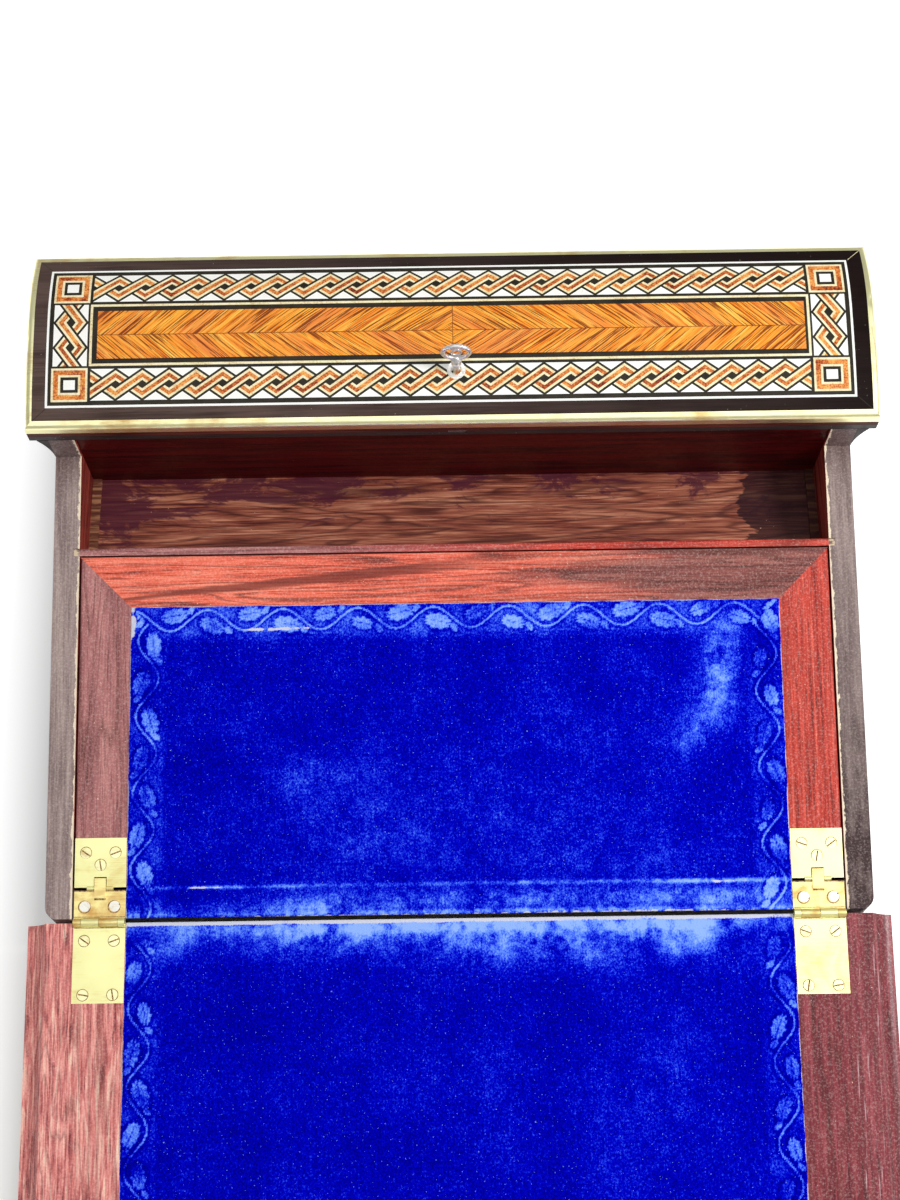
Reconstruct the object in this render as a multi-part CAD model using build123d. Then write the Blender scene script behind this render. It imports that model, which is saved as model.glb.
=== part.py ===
"""Portable writing slope, standing open with its lower flap folded down in front.

Millimetres, +Z up, +Y towards the back, +X to the right. The origin is the
centre of the box's underside. The sloping parts are drawn in the slope's own
directions: x across, d up the slope from the box's front face, n square to it.
The lower flap is drawn shut on the slope and then swung open about its hinge.
"""
import os
from math import asin, atan2, cos, degrees, hypot, radians, sin, sqrt, tan

from build123d import *

# ---- box -------------------------------------------------------------------
box_width = 352.0
box_depth = 280.0
base_thickness = 7.0
side_thickness = 11.5
front_board_thickness = 12.0
back_board_thickness = 11.5
front_height = 58.6        # table to the slope at the front face
slope_angle = 12.0
lid_depth = 82.5           # upright step in the sides to the back face
riser_height = 16.0
corner_radius = 5.0        # upright front corners of the sides
moulding_reach = 5.0       # flare under the lid, outwards
moulding_hollow = 1.2

# ---- pen tray and ink compartment -------------------------------------------
tray_depth = 27.6          # foot of the riser down to the tray's floor
tray_floor_thickness = 5.0
tray_floor_lead = 3.0      # how far the floor runs in front of the rail
rail_thickness = 3.3
rail_housing = 2.5         # how deep the rail is let into each side
rail_gap = 0.8             # upper flap to rail
rail_setback = 44.9        # riser to the rail, down the slope
back_wall_setback = 1.5    # riser to the pen tray's back wall
back_wall_thickness = 5.5
end_strip_width = 4.0
end_strip_thickness = 1.2
ink_cell_width = 46.0
divider_thickness = 5.0
divider_height = 36.0
spacer_thickness = 4.0
spacer_height = 24.0

# ---- inkwells ----------------------------------------------------------------
bottle_size = 44.0
bottle_height = 28.0
bottle_corner = 3.0
bottle_bore = 15.0
bottle_floor = 5.0
bottle_shoulder = 6.0
neck_radius = 7.0
cell_clearance = 0.5
collar_radius = 10.0
collar_height = 3.0
cap_radius = 10.5
cap_thickness = 3.0
cap_gap = 0.3
cap_pin_radius = 0.8
cap_barrel_radius = 1.7
cap_barrel_length = 3.0

# ---- upper flap ---------------------------------------------------------------
flap_joint_setback = 12.8  # front face to the upper flap's pivot, up the slope
upper_flap_thickness = 9.0
upper_flap_side_gap = 0.6
frame_width = 22.4         # mitred frame round the velvet
velvet_thickness = 0.6
flap_edge_radius = 1.5
ledge_size = 6.0
ledge_gap = 0.2
pivot_depth = 0.5          # pivot below the slope's surface
flap_start = 0.3           # pivot to the flap's end
front_strip_end = 0.6      # pivot to the front board's covering

# ---- lower flap ---------------------------------------------------------------
overhang = 8.0             # lower flap and lid past the box's sides
closing_gap = 1.0          # slope to the shut flap's writing face
fold_lead = 1.6            # fold axis in front of the front face
fold_end_gap = 0.2         # fold axis to the flap's end
flap_end_gap = 0.7         # shut flap to riser
foot_gap = 0.2             # open flap to the table
outer_strip_width = 19.8
inner_panel_thickness = 8.0
outer_board_thickness = 8.0
hinge_rail_width = 20.0
cove_reach = 8.5
cove_height = 4.7
cove_hollow = 1.0

# ---- rear lid -------------------------------------------------------------------
lid_gap = 0.4              # box's top edges to the lid
lid_front_edge = 11.1      # height of the lid's front edge
lid_front_slope = 16.0     # rise of the curved top at its front
lid_front_radius = 300.0
lid_back_radius = 68.0
lid_back_arc_depth = 34.0  # change of curve to the back face
lid_board_thickness = 6.5
lid_front_rail = 10.0
lid_back_rail = 12.0
lid_end_rail = 18.0
veneer_thickness = 0.8
brass_width = 3.2          # brass edging, across the top
brass_height = 4.5
brass_radius = 2.4

# ---- brass hinges -----------------------------------------------------------------
leaf_width = 22.0
leaf_thickness = 1.2
leaf_inset = 0.2           # leaf to the velvet beside it
upper_leaf_length = 20.9
lower_leaf_length = 33.5
knuckle_radius = 1.8
knuckle_pin_radius = 0.8
knuckle_marks = (3.5, 11.0, 19.0)
knuckle_slit = 0.15
running_clearance = 0.06
wood_clearance = 0.2
strap_width = 4.9
strap_reach = 4.2          # from the pivot, both ways
strap_rise = 0.5
strap_slot_gap = 0.25
pivot_barrel_radius = 1.0
pivot_barrel_length = 3.0
pivot_pin_radius = 0.5
lid_hinge_place = 112.0
lid_hinge_length = 30.0
lid_hinge_leaf_depth = 9.0
lid_knuckle_radius = 2.0
lid_knuckle_middle = 12.0
lid_axis_lead = 2.2        # lid axis behind the back face

# ---- screws -------------------------------------------------------------------------
head_radius = 2.25
head_proud = 0.25
head_depth = 1.2
shank_radius = 1.1
screw_length = 7.0
lid_screw_length = 5.0
screw_offset = 6.3         # leaf's middle to its screws
upper_screw_rows = (6.4, 11.6)    # from the leaf's top end
fixed_screw_row = 5.2      # from the front face
lower_screw_rows = (7.6, 30.0)    # from the fold
lid_screw_offset = 9.0
slot_width = 0.6
slot_depth = 0.45

# ---- lock and key -------------------------------------------------------------------
key_setback = 22.5         # lid's front edge to the key
lock_offset = 2.0          # lock and key to the right of the middle
key_shank_radius = 1.8
key_top_above_lid = 21.5
key_bow_width = 13.5
key_bow_height = 12.0
key_bow_thickness = 2.6
key_bow_bar = 2.6
key_bit_reach = 5.5
key_bit_width = 1.6
lock_half_width = 20.0
lock_back_reach = 12.0     # key to the lock case's back
lock_height = 5.2
lock_wall = 1.0
bolt_thickness = 2.0
bolt_head_width = 8.0
bolt_tail_width = 17.0
bolt_window_front = 4.1    # key to the front of the bolt's window
bolt_window_back = 7.3
bolt_window_half_width = 6.0
bolt_slot_gap = 0.2
bolt_recess = 0.3          # drawn bolt's end inside the lid's front face
strike_length = 26.0
strike_height = 6.0
strike_thickness = 1.0
strike_mortise_depth = 7.0
escutcheon_radius = 4.0
escutcheon_proud = 0.4
escutcheon_seat = 0.8

# ---- places that follow from the sizes ------------------------------------------------
front_y = -box_depth / 2
back_y = box_depth / 2
outer_x = box_width / 2
inner_x = outer_x - side_thickness
lid_x = outer_x + overhang
rise = tan(radians(slope_angle))
riser_setback = box_depth - lid_depth
riser_y = front_y + riser_setback
riser_z = front_height + riser_setback * rise
tray_floor_top = riser_z - tray_depth
side_top = riser_z + riser_height
lid_under = side_top + lid_gap
lid_front_z = lid_under + lid_front_edge
back_inner_y = back_y - back_board_thickness
tray_wall_y = riser_y + back_wall_setback
ink_front_y = tray_wall_y + back_wall_thickness
rail_d = riser_setback / cos(radians(slope_angle)) - rail_setback
upper_end_d = rail_d - rail_gap
velvet_x = inner_x - upper_flap_side_gap - frame_width
velvet_end_d = upper_end_d - frame_width
hinge_x0 = velvet_x + leaf_inset
hinge_x1 = hinge_x0 + leaf_width
hinge_mid = (hinge_x0 + hinge_x1) / 2

slope_plane = Plane(
    origin=(0, front_y, front_height),
    x_dir=(1, 0, 0),
    z_dir=(0, -sin(radians(slope_angle)), cos(radians(slope_angle))),
)
slope_section = Plane(
    origin=(0, front_y, front_height),
    x_dir=(0, cos(radians(slope_angle)), sin(radians(slope_angle))),
    z_dir=(1, 0, 0),
)


# ---- helpers --------------------------------------------------------------------------
def block(x0, x1, y0, y1, z0, z1):
    """A box between two corners."""
    return Pos((x0 + x1) / 2, (y0 + y1) / 2, (z0 + z1) / 2) * Box(x1 - x0, y1 - y0, z1 - z0)


def slope_block(x0, x1, d0, d1, n0, n1):
    """A box between two corners, in the slope's directions."""
    return Location(slope_plane) * block(x0, x1, d0, d1, n0, n1)


def section(plane, points, x0, x1):
    """A closed outline on an upright plane, drawn out across the box."""
    face = make_face(plane * Polyline(*points, close=True))
    return Pos(x0, 0, 0) * extrude(face, amount=x1 - x0, dir=(1, 0, 0))


def plan(points, d0_to_n, location):
    """A closed outline drawn in plan and extruded between two heights."""
    low, high = d0_to_n
    face = make_face(Polyline(*points, close=True))
    return location * Pos(0, 0, low) * extrude(face, amount=high - low, dir=(0, 0, 1))


def rod(radius, x0, x1, y, z):
    """A round bar along X."""
    return Pos((x0 + x1) / 2, y, z) * Rot(0, 90, 0) * Cylinder(radius, x1 - x0)


def slope_rod(radius, x0, x1, d, n):
    return Location(slope_plane) * rod(radius, x0, x1, d, n)


def mirrored(part):
    return mirror(part, about=Plane.YZ)


def solids_of(*parts):
    found = []
    for part in parts:
        found.extend(part.solids())
    return found


def save(name, *parts):
    export_step(Compound(solids_of(*parts)), f"parts/{name}.step")


def save_pair(name, part):
    """One node that holds a piece and its mirror image."""
    save(name, part, mirrored(part))


def save_sides(name, part):
    """Two nodes, for the right piece as drawn and the left piece."""
    save(f"{name}_right", part)
    save(f"{name}_left", mirrored(part))


def screw(turn=0.0, length=screw_length):
    """Countersunk slotted wood screw, head up, its top just proud of z = 0."""
    head = Pos(0, 0, head_proud / 2) * Cylinder(head_radius, head_proud)
    cone = Pos(0, 0, -head_depth / 2) * Cone(shank_radius, head_radius, head_depth)
    shank_length = length - head_depth
    shank = Pos(0, 0, -head_depth - shank_length / 2) * Cylinder(shank_radius, shank_length)
    slot = Pos(0, 0, head_proud - slot_depth / 2) * Rot(0, 0, turn)
    return head + cone + shank - slot * Box(3 * head_radius, slot_width, slot_depth)


def screw_seat():
    """The space that a screw fills, to be cut from what it holds."""
    cone = Pos(0, 0, -head_depth / 2) * Cone(shank_radius, head_radius, head_depth)
    shank_length = screw_length - head_depth
    return cone + Pos(0, 0, -head_depth - shank_length / 2) * Cylinder(shank_radius, shank_length)


def screws_at(location, places, length=screw_length):
    """Screws at places across a leaf, each with its slot at its own angle."""
    turns = (-20, 35, 80, 10)
    return [
        location * Pos(x, d, 0) * screw(turns[i % len(turns)], length)
        for i, (x, d) in enumerate(places)
    ]


def seats_at(location, places):
    return [location * Pos(x, d, 0) * screw_seat() for x, d in places]


def knuckle_spans(which):
    """Stretches of the front knuckle: 0 for the fixed leaf, 1 for the flap's leaf."""
    marks = [0.0, *knuckle_marks, leaf_width]
    spans = []
    for i in range(len(marks) - 1):
        if i % 2 == which:
            spans.append((hinge_x1 - marks[i + 1] + knuckle_slit, hinge_x1 - marks[i]))
    return spans


# ---- box -------------------------------------------------------------------------------
fold_d = -fold_lead
fold_n = closing_gap / 2
slope_location = Location(slope_plane)

base = block(-outer_x, outer_x, front_y, back_y, 0, base_thickness)
base = fillet(base.edges().filter_by(Axis.Z).group_by(Axis.Y)[0], corner_radius)

side_outline = [
    (front_y, base_thickness),
    (front_y, front_height),
    (riser_y, riser_z),
    (riser_y, side_top),
    (back_y, side_top),
    (back_y, base_thickness),
]
side = section(Plane.YZ, side_outline, inner_x, outer_x)
side = fillet(side.edges().filter_by(Axis.Z).group_by(Axis.Y)[0].sort_by(Axis.X)[-1], corner_radius)
rail_drop = (front_height + rail_d * sin(radians(slope_angle)) - tray_floor_top) * 2
housing = slope_block(
    inner_x, inner_x + rail_housing, rail_d, rail_d + rail_thickness, -rail_drop, 1
)
floor_level = block(-outer_x, outer_x, front_y, back_y, tray_floor_top, lid_front_z)
housing = housing & floor_level
side = side - housing

front_board = section(
    Plane.YZ,
    [
        (front_y, base_thickness),
        (front_y, front_height),
        (front_y + front_board_thickness, front_height + front_board_thickness * rise),
        (front_y + front_board_thickness, base_thickness),
    ],
    -inner_x,
    inner_x,
)
back_board = block(-inner_x, inner_x, back_inner_y, back_y, base_thickness, side_top)

moulding_low = (outer_x, riser_z)
moulding_top = (outer_x + moulding_reach, side_top)
moulding_middle = (
    (moulding_low[0] + moulding_top[0]) / 2 - moulding_hollow,
    (moulding_low[1] + moulding_top[1]) / 2,
)
moulding_face = make_face(
    [
        Plane.XZ * ThreePointArc(moulding_low, moulding_middle, moulding_top),
        Plane.XZ * Line(moulding_top, (outer_x, side_top)),
        Plane.XZ * Line((outer_x, side_top), moulding_low),
    ]
)
moulding = Pos(0, back_y, 0) * extrude(moulding_face, amount=back_y - riser_y, dir=(0, -1, 0))

# ---- pen tray, rail and ink compartment ---------------------------------------------------
rail_foot_y = front_y + rail_d * cos(radians(slope_angle))
tray_floor = block(
    -inner_x,
    inner_x,
    rail_foot_y - tray_floor_lead,
    back_inner_y,
    tray_floor_top - tray_floor_thickness,
    tray_floor_top,
)
rail = slope_block(
    -inner_x - rail_housing,
    inner_x + rail_housing,
    rail_d,
    rail_d + rail_thickness,
    -rail_drop,
    0,
)
rail = rail & floor_level
rail = fillet(rail.edges().filter_by(Axis.X).group_by(Axis.Z)[-1], rail_thickness * 0.3)
tray_back_wall = block(
    -inner_x, inner_x, tray_wall_y, ink_front_y, tray_floor_top, side_top
)
rail_back_y = max(v.Y for v in rail.vertices())
end_strip = block(
    inner_x - end_strip_width,
    inner_x,
    rail_back_y,
    tray_wall_y,
    tray_floor_top,
    tray_floor_top + end_strip_thickness,
)
divider_x = inner_x - ink_cell_width
divider = block(
    divider_x - divider_thickness,
    divider_x,
    ink_front_y,
    back_inner_y,
    tray_floor_top,
    tray_floor_top + divider_height,
)
bottle_back_y = back_inner_y - cell_clearance
bottle_front_y = bottle_back_y - bottle_size
spacer = block(
    divider_x,
    inner_x,
    bottle_front_y - cell_clearance - spacer_thickness,
    bottle_front_y - cell_clearance,
    tray_floor_top,
    tray_floor_top + spacer_height,
)

# ---- inkwells --------------------------------------------------------------------------------
ink_x = (divider_x + inner_x) / 2
ink_y = (bottle_front_y + bottle_back_y) / 2
bottle_top = tray_floor_top + bottle_height
bottle = block(
    ink_x - bottle_size / 2,
    ink_x + bottle_size / 2,
    bottle_front_y,
    bottle_back_y,
    tray_floor_top,
    bottle_top,
)
bottle = fillet(bottle.edges().filter_by(Axis.Z), bottle_corner)
bottle = chamfer(bottle.faces().sort_by(Axis.Z)[-1].edges(), bottle_corner / 2)
well_depth = bottle_height - bottle_floor - bottle_shoulder
bottle = bottle - Pos(ink_x, ink_y, tray_floor_top + bottle_floor + well_depth / 2) * Cylinder(
    bottle_bore, well_depth
)
bottle = bottle - Pos(ink_x, ink_y, bottle_top - bottle_shoulder / 2) * Cylinder(
    neck_radius, bottle_shoulder + 1
)

cap_axis_y = ink_y + cap_radius + cap_barrel_radius
cap_axis_z = bottle_top + collar_height
collar = Pos(ink_x, ink_y, bottle_top + collar_height / 2) * (
    Cylinder(collar_radius, collar_height) - Cylinder(neck_radius, collar_height)
)
collar_lug = block(
    ink_x - cap_barrel_length / 2,
    ink_x + cap_barrel_length / 2,
    ink_y + collar_radius - 1,
    cap_axis_y,
    cap_axis_z - cap_barrel_radius,
    cap_axis_z - cap_barrel_radius / 2,
)
cap_pin_length = 3 * cap_barrel_length + 2 * knuckle_slit
collar_knuckle = rod(
    cap_barrel_radius,
    ink_x - cap_barrel_length / 2,
    ink_x + cap_barrel_length / 2,
    cap_axis_y,
    cap_axis_z,
)
cap_pin = rod(
    cap_pin_radius, ink_x - cap_pin_length / 2, ink_x + cap_pin_length / 2, cap_axis_y, cap_axis_z
)
collar = collar + collar_lug + collar_knuckle + cap_pin

cap_low = cap_axis_z + cap_gap
cap_disc = Pos(ink_x, ink_y, cap_low + cap_thickness / 2) * Cylinder(cap_radius, cap_thickness)
cap_disc = fillet(cap_disc.faces().sort_by(Axis.Z)[-1].edges(), cap_thickness * 0.6)
cap_lip = Pos(ink_x, ink_y - cap_radius, cap_low + cap_thickness / 4) * Box(
    5, 3, cap_thickness / 2
)
cap = cap_disc + cap_lip
for side_sign in (-1, 1):
    near = ink_x + side_sign * (cap_barrel_length / 2 + knuckle_slit)
    far = near + side_sign * cap_barrel_length
    x0, x1 = min(near, far), max(near, far)
    arm = block(x0, x1, ink_y + cap_radius - 3, cap_axis_y, cap_low, cap_axis_z + cap_barrel_radius)
    barrel = rod(cap_barrel_radius, x0, x1, cap_axis_y, cap_axis_z)
    cap = cap + arm + barrel
    cap = cap - rod(cap_pin_radius + running_clearance, x0, x1, cap_axis_y, cap_axis_z)

# ---- upper flap -------------------------------------------------------------------------------
pivot_d = flap_joint_setback
pivot_n = -pivot_depth
flap_x = inner_x - upper_flap_side_gap
flap_d0 = pivot_d + flap_start
upper_panel = slope_block(
    -velvet_x, velvet_x, flap_d0, velvet_end_d, -upper_flap_thickness, -velvet_thickness
)
upper_velvet = slope_block(-velvet_x, velvet_x, flap_d0, velvet_end_d, -velvet_thickness, 0)
stile_plan = [
    (velvet_x, flap_d0),
    (flap_x, flap_d0),
    (flap_x, upper_end_d),
    (velvet_x, velvet_end_d),
]
stile = plan(stile_plan, (-upper_flap_thickness, 0), slope_location)
outer_edges = [
    e for e in stile.edges() if e.bounding_box().min.X > flap_x - 0.01 and e.length > frame_width
]
stile = fillet(max(outer_edges, key=lambda e: e.center().Z), flap_edge_radius)
top_rail_plan = [
    (-flap_x, upper_end_d),
    (-velvet_x, velvet_end_d),
    (velvet_x, velvet_end_d),
    (flap_x, upper_end_d),
]
upper_top_rail = plan(top_rail_plan, (-upper_flap_thickness, 0), slope_location)
ledge = slope_block(
    inner_x - ledge_size,
    inner_x,
    flap_d0,
    rail_d,
    -upper_flap_thickness - ledge_gap - ledge_size,
    -upper_flap_thickness - ledge_gap,
)

# ---- front hinges: fixed leaf with its strap, upper leaf, pins ---------------------------------
strap_x0 = hinge_mid - strap_width / 2
strap_x1 = hinge_mid + strap_width / 2
barrel_spans = (
    (strap_x0 - knuckle_slit - pivot_barrel_length, strap_x0 - knuckle_slit),
    (strap_x1 + knuckle_slit, strap_x1 + knuckle_slit + pivot_barrel_length),
)
fixed_leaf_end = pivot_d - pivot_barrel_radius - wood_clearance
fixed_leaf = slope_block(hinge_x0, hinge_x1, fold_d, fixed_leaf_end, -leaf_thickness, 0)
fold_room = knuckle_radius + wood_clearance
for x0, x1 in knuckle_spans(1):
    fixed_leaf = fixed_leaf - slope_rod(
        fold_room, x0 - knuckle_slit, x1 + knuckle_slit, fold_d, fold_n
    )
fixed_leaf = fixed_leaf & slope_block(
    hinge_x0, hinge_x1, fold_d - knuckle_radius, fixed_leaf_end, -leaf_thickness, 0
)
for x0, x1 in knuckle_spans(0):
    fixed_leaf = fixed_leaf + slope_rod(knuckle_radius, x0, x1, fold_d, fold_n)
fixed_leaf = fixed_leaf + slope_block(
    strap_x0, strap_x1, pivot_d - strap_reach, pivot_d + strap_reach, -leaf_thickness / 2, strap_rise
)
fixed_leaf = fixed_leaf + slope_block(
    strap_x0, strap_x1, fixed_leaf_end - 0.5, pivot_d, -leaf_thickness, 0
)
fixed_leaf = fixed_leaf + slope_rod(pivot_barrel_radius, strap_x0, strap_x1, pivot_d, pivot_n)
fixed_leaf = fixed_leaf - slope_rod(pivot_pin_radius, strap_x0, strap_x1, pivot_d, pivot_n)
fixed_leaf = fixed_leaf - slope_rod(
    knuckle_pin_radius, hinge_x0 - 1, hinge_x1 + 1, fold_d, fold_n
)
fold_pin = slope_rod(knuckle_pin_radius, hinge_x0 + knuckle_slit, hinge_x1, fold_d, fold_n)
pivot_pin = slope_rod(pivot_pin_radius, barrel_spans[0][0], barrel_spans[1][1], pivot_d, pivot_n)

upper_leaf_end = flap_d0 + upper_leaf_length
upper_leaf = slope_block(hinge_x0, hinge_x1, flap_d0, upper_leaf_end, -leaf_thickness, 0)
strap_slot = slope_block(
    strap_x0 - strap_slot_gap,
    strap_x1 + strap_slot_gap,
    flap_d0 - 1,
    pivot_d + strap_reach + 2 * strap_slot_gap,
    -strap_reach - 3 * pivot_barrel_radius,
    strap_rise,
)
for x0, x1 in barrel_spans:
    upper_leaf = upper_leaf + slope_rod(pivot_barrel_radius, x0, x1, pivot_d, pivot_n)
upper_leaf = upper_leaf - strap_slot
for x0, x1 in barrel_spans:
    upper_leaf = upper_leaf - slope_rod(
        pivot_pin_radius + running_clearance, x0 - 1, x1 + 1, pivot_d, pivot_n
    )
barrel_seats = [
    slope_rod(
        pivot_barrel_radius + wood_clearance, x0 - wood_clearance, x1 + wood_clearance, pivot_d, pivot_n
    )
    for x0, x1 in barrel_spans
]

upper_screw_places = [
    (hinge_mid - screw_offset, upper_leaf_end - upper_screw_rows[0]),
    (hinge_mid + screw_offset, upper_leaf_end - upper_screw_rows[0]),
    (hinge_mid, upper_leaf_end - upper_screw_rows[1]),
]
fixed_screw_places = [
    (hinge_mid - screw_offset, fixed_screw_row),
    (hinge_mid + screw_offset, fixed_screw_row),
]
upper_seats = seats_at(slope_location, upper_screw_places)
fixed_seats = seats_at(slope_location, fixed_screw_places)

leaf_bed = slope_block(hinge_x0, hinge_x1, flap_d0 - 1, upper_leaf_end, -leaf_thickness, 1)
stile = stile - leaf_bed - strap_slot - barrel_seats[0] - barrel_seats[1]
front_bed = slope_block(hinge_x0, hinge_x1, fold_d, pivot_d, -leaf_thickness, 1)
strap_bed = slope_block(strap_x0, strap_x1, pivot_d - 2, pivot_d + 2, -2 * leaf_thickness, 1)
fold_seat = slope_rod(fold_room, hinge_x0, hinge_x1, fold_d, fold_n)
front_velvet_d1 = pivot_d - front_strip_end
front_cover = slope_block(-velvet_x, velvet_x, 0, front_velvet_d1, -velvet_thickness, 0)
front_trim = slope_block(-inner_x, inner_x, front_velvet_d1, pivot_d + 5, -leaf_thickness, 1)
for cutter in [front_trim, front_cover]:
    front_board = front_board - cutter
for cutter in [front_bed, strap_bed, fold_seat, *barrel_seats]:
    front_board = front_board - cutter - mirrored(cutter)
front_velvet = front_cover
for seat in fixed_seats:
    fixed_leaf = fixed_leaf - seat
    front_board = front_board - seat - mirrored(seat)
for seat in upper_seats:
    upper_leaf = upper_leaf - seat
    stile = stile - seat

# ---- lower flap, drawn shut -----------------------------------------------------------------------
flap_n0 = closing_gap
flap_n1 = (lid_front_z - riser_z) * cos(radians(slope_angle))
flap_start_d = fold_d + fold_end_gap
flap_end_d = (riser_setback - flap_end_gap + flap_n0 * sin(radians(slope_angle))) / cos(
    radians(slope_angle)
)
flap_far_d = flap_end_d + (flap_n1 - flap_n0) * rise
reach_d = flap_far_d - fold_d
reach_n = flap_n1 - fold_n
fold_y = front_y + fold_d * cos(radians(slope_angle)) - fold_n * sin(radians(slope_angle))
fold_z = front_height + fold_d * sin(radians(slope_angle)) + fold_n * cos(radians(slope_angle))
shut_bearing = slope_angle + degrees(atan2(reach_n, reach_d))
open_bearing = 180 + degrees(asin((fold_z - foot_gap) / hypot(reach_d, reach_n)))
open_swing = open_bearing - shut_bearing
open_slope = open_swing - 180 + slope_angle
fold_axis = Axis((0, fold_y, fold_z), (1, 0, 0))
flap_near_d = flap_start_d + (flap_n1 - flap_n0) * tan(radians(open_slope))

flap_outline = [
    (flap_start_d, flap_n0),
    (flap_end_d, flap_n0),
    (flap_far_d, flap_n1),
    (flap_near_d, flap_n1),
]
flap_body = section(slope_section, flap_outline, -lid_x, lid_x)
panel_n = flap_n0 + inner_panel_thickness
board_n = flap_n1 - outer_board_thickness
outer_strip_x = lid_x - outer_strip_width
inner_end_d = flap_end_d - outer_strip_width
panel_end_d = inner_end_d - frame_width

lower_velvet = slope_block(
    -velvet_x, velvet_x, flap_start_d, panel_end_d, flap_n0, flap_n0 + velvet_thickness
) & flap_body
lower_panel = slope_block(
    -velvet_x, velvet_x, flap_start_d, panel_end_d, flap_n0 + velvet_thickness, panel_n
) & flap_body
strip_plan = [
    (velvet_x, flap_start_d),
    (outer_strip_x, flap_start_d),
    (outer_strip_x, inner_end_d),
    (velvet_x, panel_end_d),
]
lower_strip = plan(strip_plan, (flap_n0, panel_n), slope_location) & flap_body
inner_rail_plan = [
    (-velvet_x, panel_end_d),
    (-outer_strip_x, inner_end_d),
    (outer_strip_x, inner_end_d),
    (velvet_x, panel_end_d),
]
lower_inner_rail = plan(inner_rail_plan, (flap_n0, panel_n), slope_location)

cove_foot = (lid_x - cove_reach, flap_n0)
cove_top = (lid_x, flap_n0 + cove_height)
cove_middle = (
    (cove_foot[0] + cove_top[0]) / 2 - cove_hollow / 2,
    (cove_foot[1] + cove_top[1]) / 2 + cove_hollow,
)
side_section = Plane(origin=slope_plane.origin, x_dir=(1, 0, 0), z_dir=-slope_section.x_dir)
strip_face = make_face(
    [
        side_section * Line((outer_strip_x, flap_n0), cove_foot),
        side_section * ThreePointArc(cove_foot, cove_middle, cove_top),
        side_section * Line(cove_top, (lid_x, board_n)),
        side_section * Line((lid_x, board_n), (outer_strip_x, board_n)),
        side_section * Line((outer_strip_x, board_n), (outer_strip_x, flap_n0)),
    ]
)
side_bar = extrude(strip_face, amount=flap_far_d + 5, dir=tuple(slope_section.x_dir))
side_bar = side_bar + extrude(strip_face, amount=-5, dir=tuple(slope_section.x_dir))
beyond = 10.0
end_plan = [
    (-lid_x - beyond, flap_end_d + beyond),
    (-outer_strip_x, inner_end_d),
    (outer_strip_x, inner_end_d),
    (lid_x + beyond, flap_end_d + beyond),
]
end_region = plan(end_plan, (flap_n0, board_n), slope_location)
lower_side = (side_bar & flap_body) - end_region
lower_end_rail = end_region & flap_body
hinge_rail = slope_block(
    -outer_strip_x, outer_strip_x, flap_start_d, flap_start_d + hinge_rail_width, panel_n, board_n
) & flap_body

brass_n = flap_n1 - brass_height
inside = plan(
    [
        (-lid_x + brass_width, flap_near_d + brass_width),
        (lid_x - brass_width, flap_near_d + brass_width),
        (lid_x - brass_width, flap_far_d - brass_width),
        (-lid_x + brass_width, flap_far_d - brass_width),
    ],
    (board_n, flap_n1),
    slope_location,
)
full_board = slope_block(-lid_x, lid_x, fold_d - 5, flap_far_d + 5, board_n, brass_n) & flap_body
raised_board = inside & slope_block(
    -lid_x, lid_x, fold_d, flap_far_d, brass_n, flap_n1 - veneer_thickness
)
lower_board = full_board + raised_board
lower_marquetry = inside & slope_block(
    -lid_x, lid_x, fold_d, flap_far_d, flap_n1 - veneer_thickness, flap_n1
)


def edge_near(part, point):
    """The edge of a part whose middle lies nearest to a point."""
    return min(part.edges(), key=lambda e: (e.center() - Vector(*point)).length)


def slope_point(x, d, n):
    return tuple((slope_location * Location((x, d, n))).position)


def mitred_end(corner_d, way):
    """Plan of one end piece of the brass edging, mitred at both corners."""
    inner = corner_d + way * brass_width
    outer = corner_d - way * beyond
    return [
        (-lid_x - beyond, outer),
        (-lid_x + brass_width, inner),
        (lid_x - brass_width, inner),
        (lid_x + beyond, outer),
    ]


brass_layer = slope_block(-lid_x, lid_x, fold_d - 5, flap_far_d + 5, brass_n, flap_n1) & flap_body
near_region = plan(mitred_end(flap_near_d, 1), (brass_n, flap_n1), slope_location)
far_region = plan(mitred_end(flap_far_d, -1), (brass_n, flap_n1), slope_location)
lower_brass_near = brass_layer & slope_block(
    -lid_x, lid_x, fold_d - 5, flap_near_d + brass_width, brass_n, flap_n1
)
lower_brass_near = fillet(edge_near(lower_brass_near, slope_point(0, flap_near_d, flap_n1)), brass_radius)
lower_brass_near = lower_brass_near & near_region
lower_brass_far = brass_layer & slope_block(
    -lid_x, lid_x, flap_far_d - brass_width, flap_far_d + 5, brass_n, flap_n1
)
lower_brass_far = fillet(edge_near(lower_brass_far, slope_point(0, flap_far_d, flap_n1)), brass_radius)
lower_brass_far = lower_brass_far & far_region
lower_brass_side = brass_layer & slope_block(
    lid_x - brass_width, lid_x, fold_d - 5, flap_far_d + 5, brass_n, flap_n1
)
middle_d = (flap_near_d + flap_far_d) / 2
lower_brass_side = fillet(edge_near(lower_brass_side, slope_point(lid_x, middle_d, flap_n1)), brass_radius)
lower_brass_side = lower_brass_side - near_region - far_region

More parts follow.
